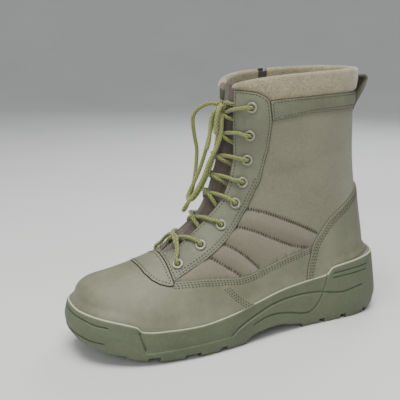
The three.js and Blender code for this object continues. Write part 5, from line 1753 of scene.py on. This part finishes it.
def zip_strip(name, half_width, inner, outer, top, node, rib=0.0):
    """A strip along the zip on the medial side, up to a top line."""
    x, y, z = skin.points.T
    distance = np.minimum(half_width - np.abs(x - ZIP_X), z - ZIP_FOOT)
    work = skin_inside(np.where(y > 0, distance, -FAR))
    work.values["under"] = top(work.points[:, 0]) - work.points[:, 2]
    work = cut(work, "under")
    work.values["beside"] = work.points[:, 0] - ZIP_X
    work = with_rows(work, "beside", np.linspace(-half_width, half_width, 7)[1:-1])
    if rib:
        work = with_rows(work, "z", np.arange(ZIP_FOOT + 1, work.points[:, 2].max(), 1.0))
    across = np.abs(work.values["beside"]) / half_width
    off = np.full(len(work.points), float(outer))
    if rib:
        tooth = 0.5 + 0.5 * np.cos(work.points[:, 2] * math.pi)
        off = inner + (outer - inner) * (0.55 + 0.45 * tooth * (1 - across**4)) - rib * hump(across, 0.16)
    finish_piece(thick(name, work, off, inner, TAPE), "zip_tape", node)


def make_zip():
    head = float(height_at(PAD_LINE, ZIP_X - 9)) - GAP
    zip_strip("zip_tape_cloth", 9.0, GAP, 1.0, lambda x: np.full(len(x), head), "zip_tape")
    zip_strip("zip_coil", 3.0, 1.3, 2.9, lambda x: height_at(RIM_LINE, x), "zip_chain", rib=0.5)
    stitches = []
    for shift in (-6.6, 6.6):
        points, normals = medial_points(ZIP_X + shift, np.linspace(ZIP_FOOT + 3, head - 3, 40))
        stitches += stitches_on(points, normals, 1.05)
    stitch_mesh("zip_stitches", stitches, "zip_tape")


def medial_points(x, zs):
    """Points and normals on the medial side of the last at x and some heights."""
    medial = skin.points[:, 1] > 8
    points, normals = skin.points[medial], skin.normals[medial]
    found = []
    for z in zs:
        distance = (points[:, 0] - x) ** 2 + (points[:, 2] - z) ** 2
        near = np.argsort(distance)[:4]
        weight = 1 / (distance[near] + 1e-3)
        weight /= weight.sum()
        found.append([x, weight @ points[near, 1], z, *(weight @ normals[near])])
    found = np.array(found)
    return found[:, :3], found[:, 3:]


def bevelled(node, material, slot, width=0.22, body="boot"):
    """A hard CAD piece with its edges rounded, as a piece of its own."""
    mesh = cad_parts[node].data.copy()
    mesh.materials.clear()
    mesh.materials.append(material)
    obj = bpy.data.objects.new(f"{node}_finished", mesh)
    bpy.context.scene.collection.objects.link(obj)
    work = bmesh.new()
    work.from_mesh(mesh)
    bmesh.ops.remove_doubles(work, verts=work.verts, dist=1e-6)
    bmesh.ops.dissolve_limit(work, angle_limit=math.radians(3), verts=work.verts, edges=work.edges)
    work.to_mesh(mesh)
    work.free()
    modifier = obj.modifiers.new("round", "BEVEL")
    modifier.width = width * MM
    modifier.segments = 3
    modifier.angle_limit = math.radians(30)
    bake(obj)
    obj.data.shade_smooth()
    obj.data.set_sharp_from_angle(angle=math.radians(40))
    return finish_piece(obj, slot, node, body=body)


def make_hardware():
    bevelled("zip_slider", METAL, "zip_metal")
    bevelled("zip_pull", METAL, "zip_metal", 0.3, "pull_tab")
    bevelled("pull_loop", WEBBING, "webbing", 0.5)
    insole = bevelled("insole", FOAM, "footbed_foam", 1.0)


make_vamp()
make_apron()
make_stay(-1, "lateral")
make_stay(1, "medial")
make_counter()
make_backstay()
make_bands()
make_storm_tab()
make_upper()
make_rolled_collar()
make_tongue()
make_eyelets()
build_sole()
make_zip()
make_hardware()


# Floor and light

def make_stage():
    """A bowl of pale paper under soft light from all round."""
    angles = 2 * math.pi * np.arange(FLOOR_SIDES) / FLOOR_SIDES
    circle = np.column_stack([np.cos(angles), np.sin(angles), np.ones(FLOOR_SIDES)])
    points = np.vstack([circle * [radius, radius, height] for radius, height in FLOOR_PROFILE])
    faces = grid_quads(len(FLOOR_PROFILE), FLOOR_SIDES).tolist() + [list(range(FLOOR_SIDES))]
    n = Nodes("floor_paper")
    tone = n.noise(n.coordinates(), 3.0, 2.0)
    paper = n.finish(n.ramp(tone, [(0.3, (0.66, 0.66, 0.65)), (0.7, (0.7, 0.7, 0.69))]), 0.9)
    add_mesh("floor", points / MM, faces, paper)
    world = bpy.data.worlds.new("studio")
    world.use_nodes = True
    world.node_tree.nodes["Background"].inputs["Color"].default_value = (0.86, 0.88, 0.92, 1)
    world.node_tree.nodes["Background"].inputs["Strength"].default_value = 0.42
    bpy.context.scene.world = world


def add_light(name, place, size, power, colour, target=(0, 0, 0.1)):
    data = bpy.data.lights.new(name, "AREA")
    data.shape = "RECTANGLE"
    data.size, data.size_y = size
    data.energy = power
    data.color = colour
    light = bpy.data.objects.new(name, data)
    light.location = place
    light.rotation_euler = (Vector(target) - Vector(place)).to_track_quat("-Z", "Y").to_euler()
    bpy.context.scene.collection.objects.link(light)


make_stage()
add_light("overhead", (-0.25, -0.35, 1.5), (1.0, 0.8), 30, (1.0, 0.99, 0.96))
add_light("front", (-1.1, -1.2, 0.8), (0.9, 0.9), 11, (0.96, 0.98, 1.0))
add_light("behind", (0.9, 0.9, 1.0), (0.8, 0.8), 9, (0.95, 0.97, 1.0))

bpy.context.view_layer.update()
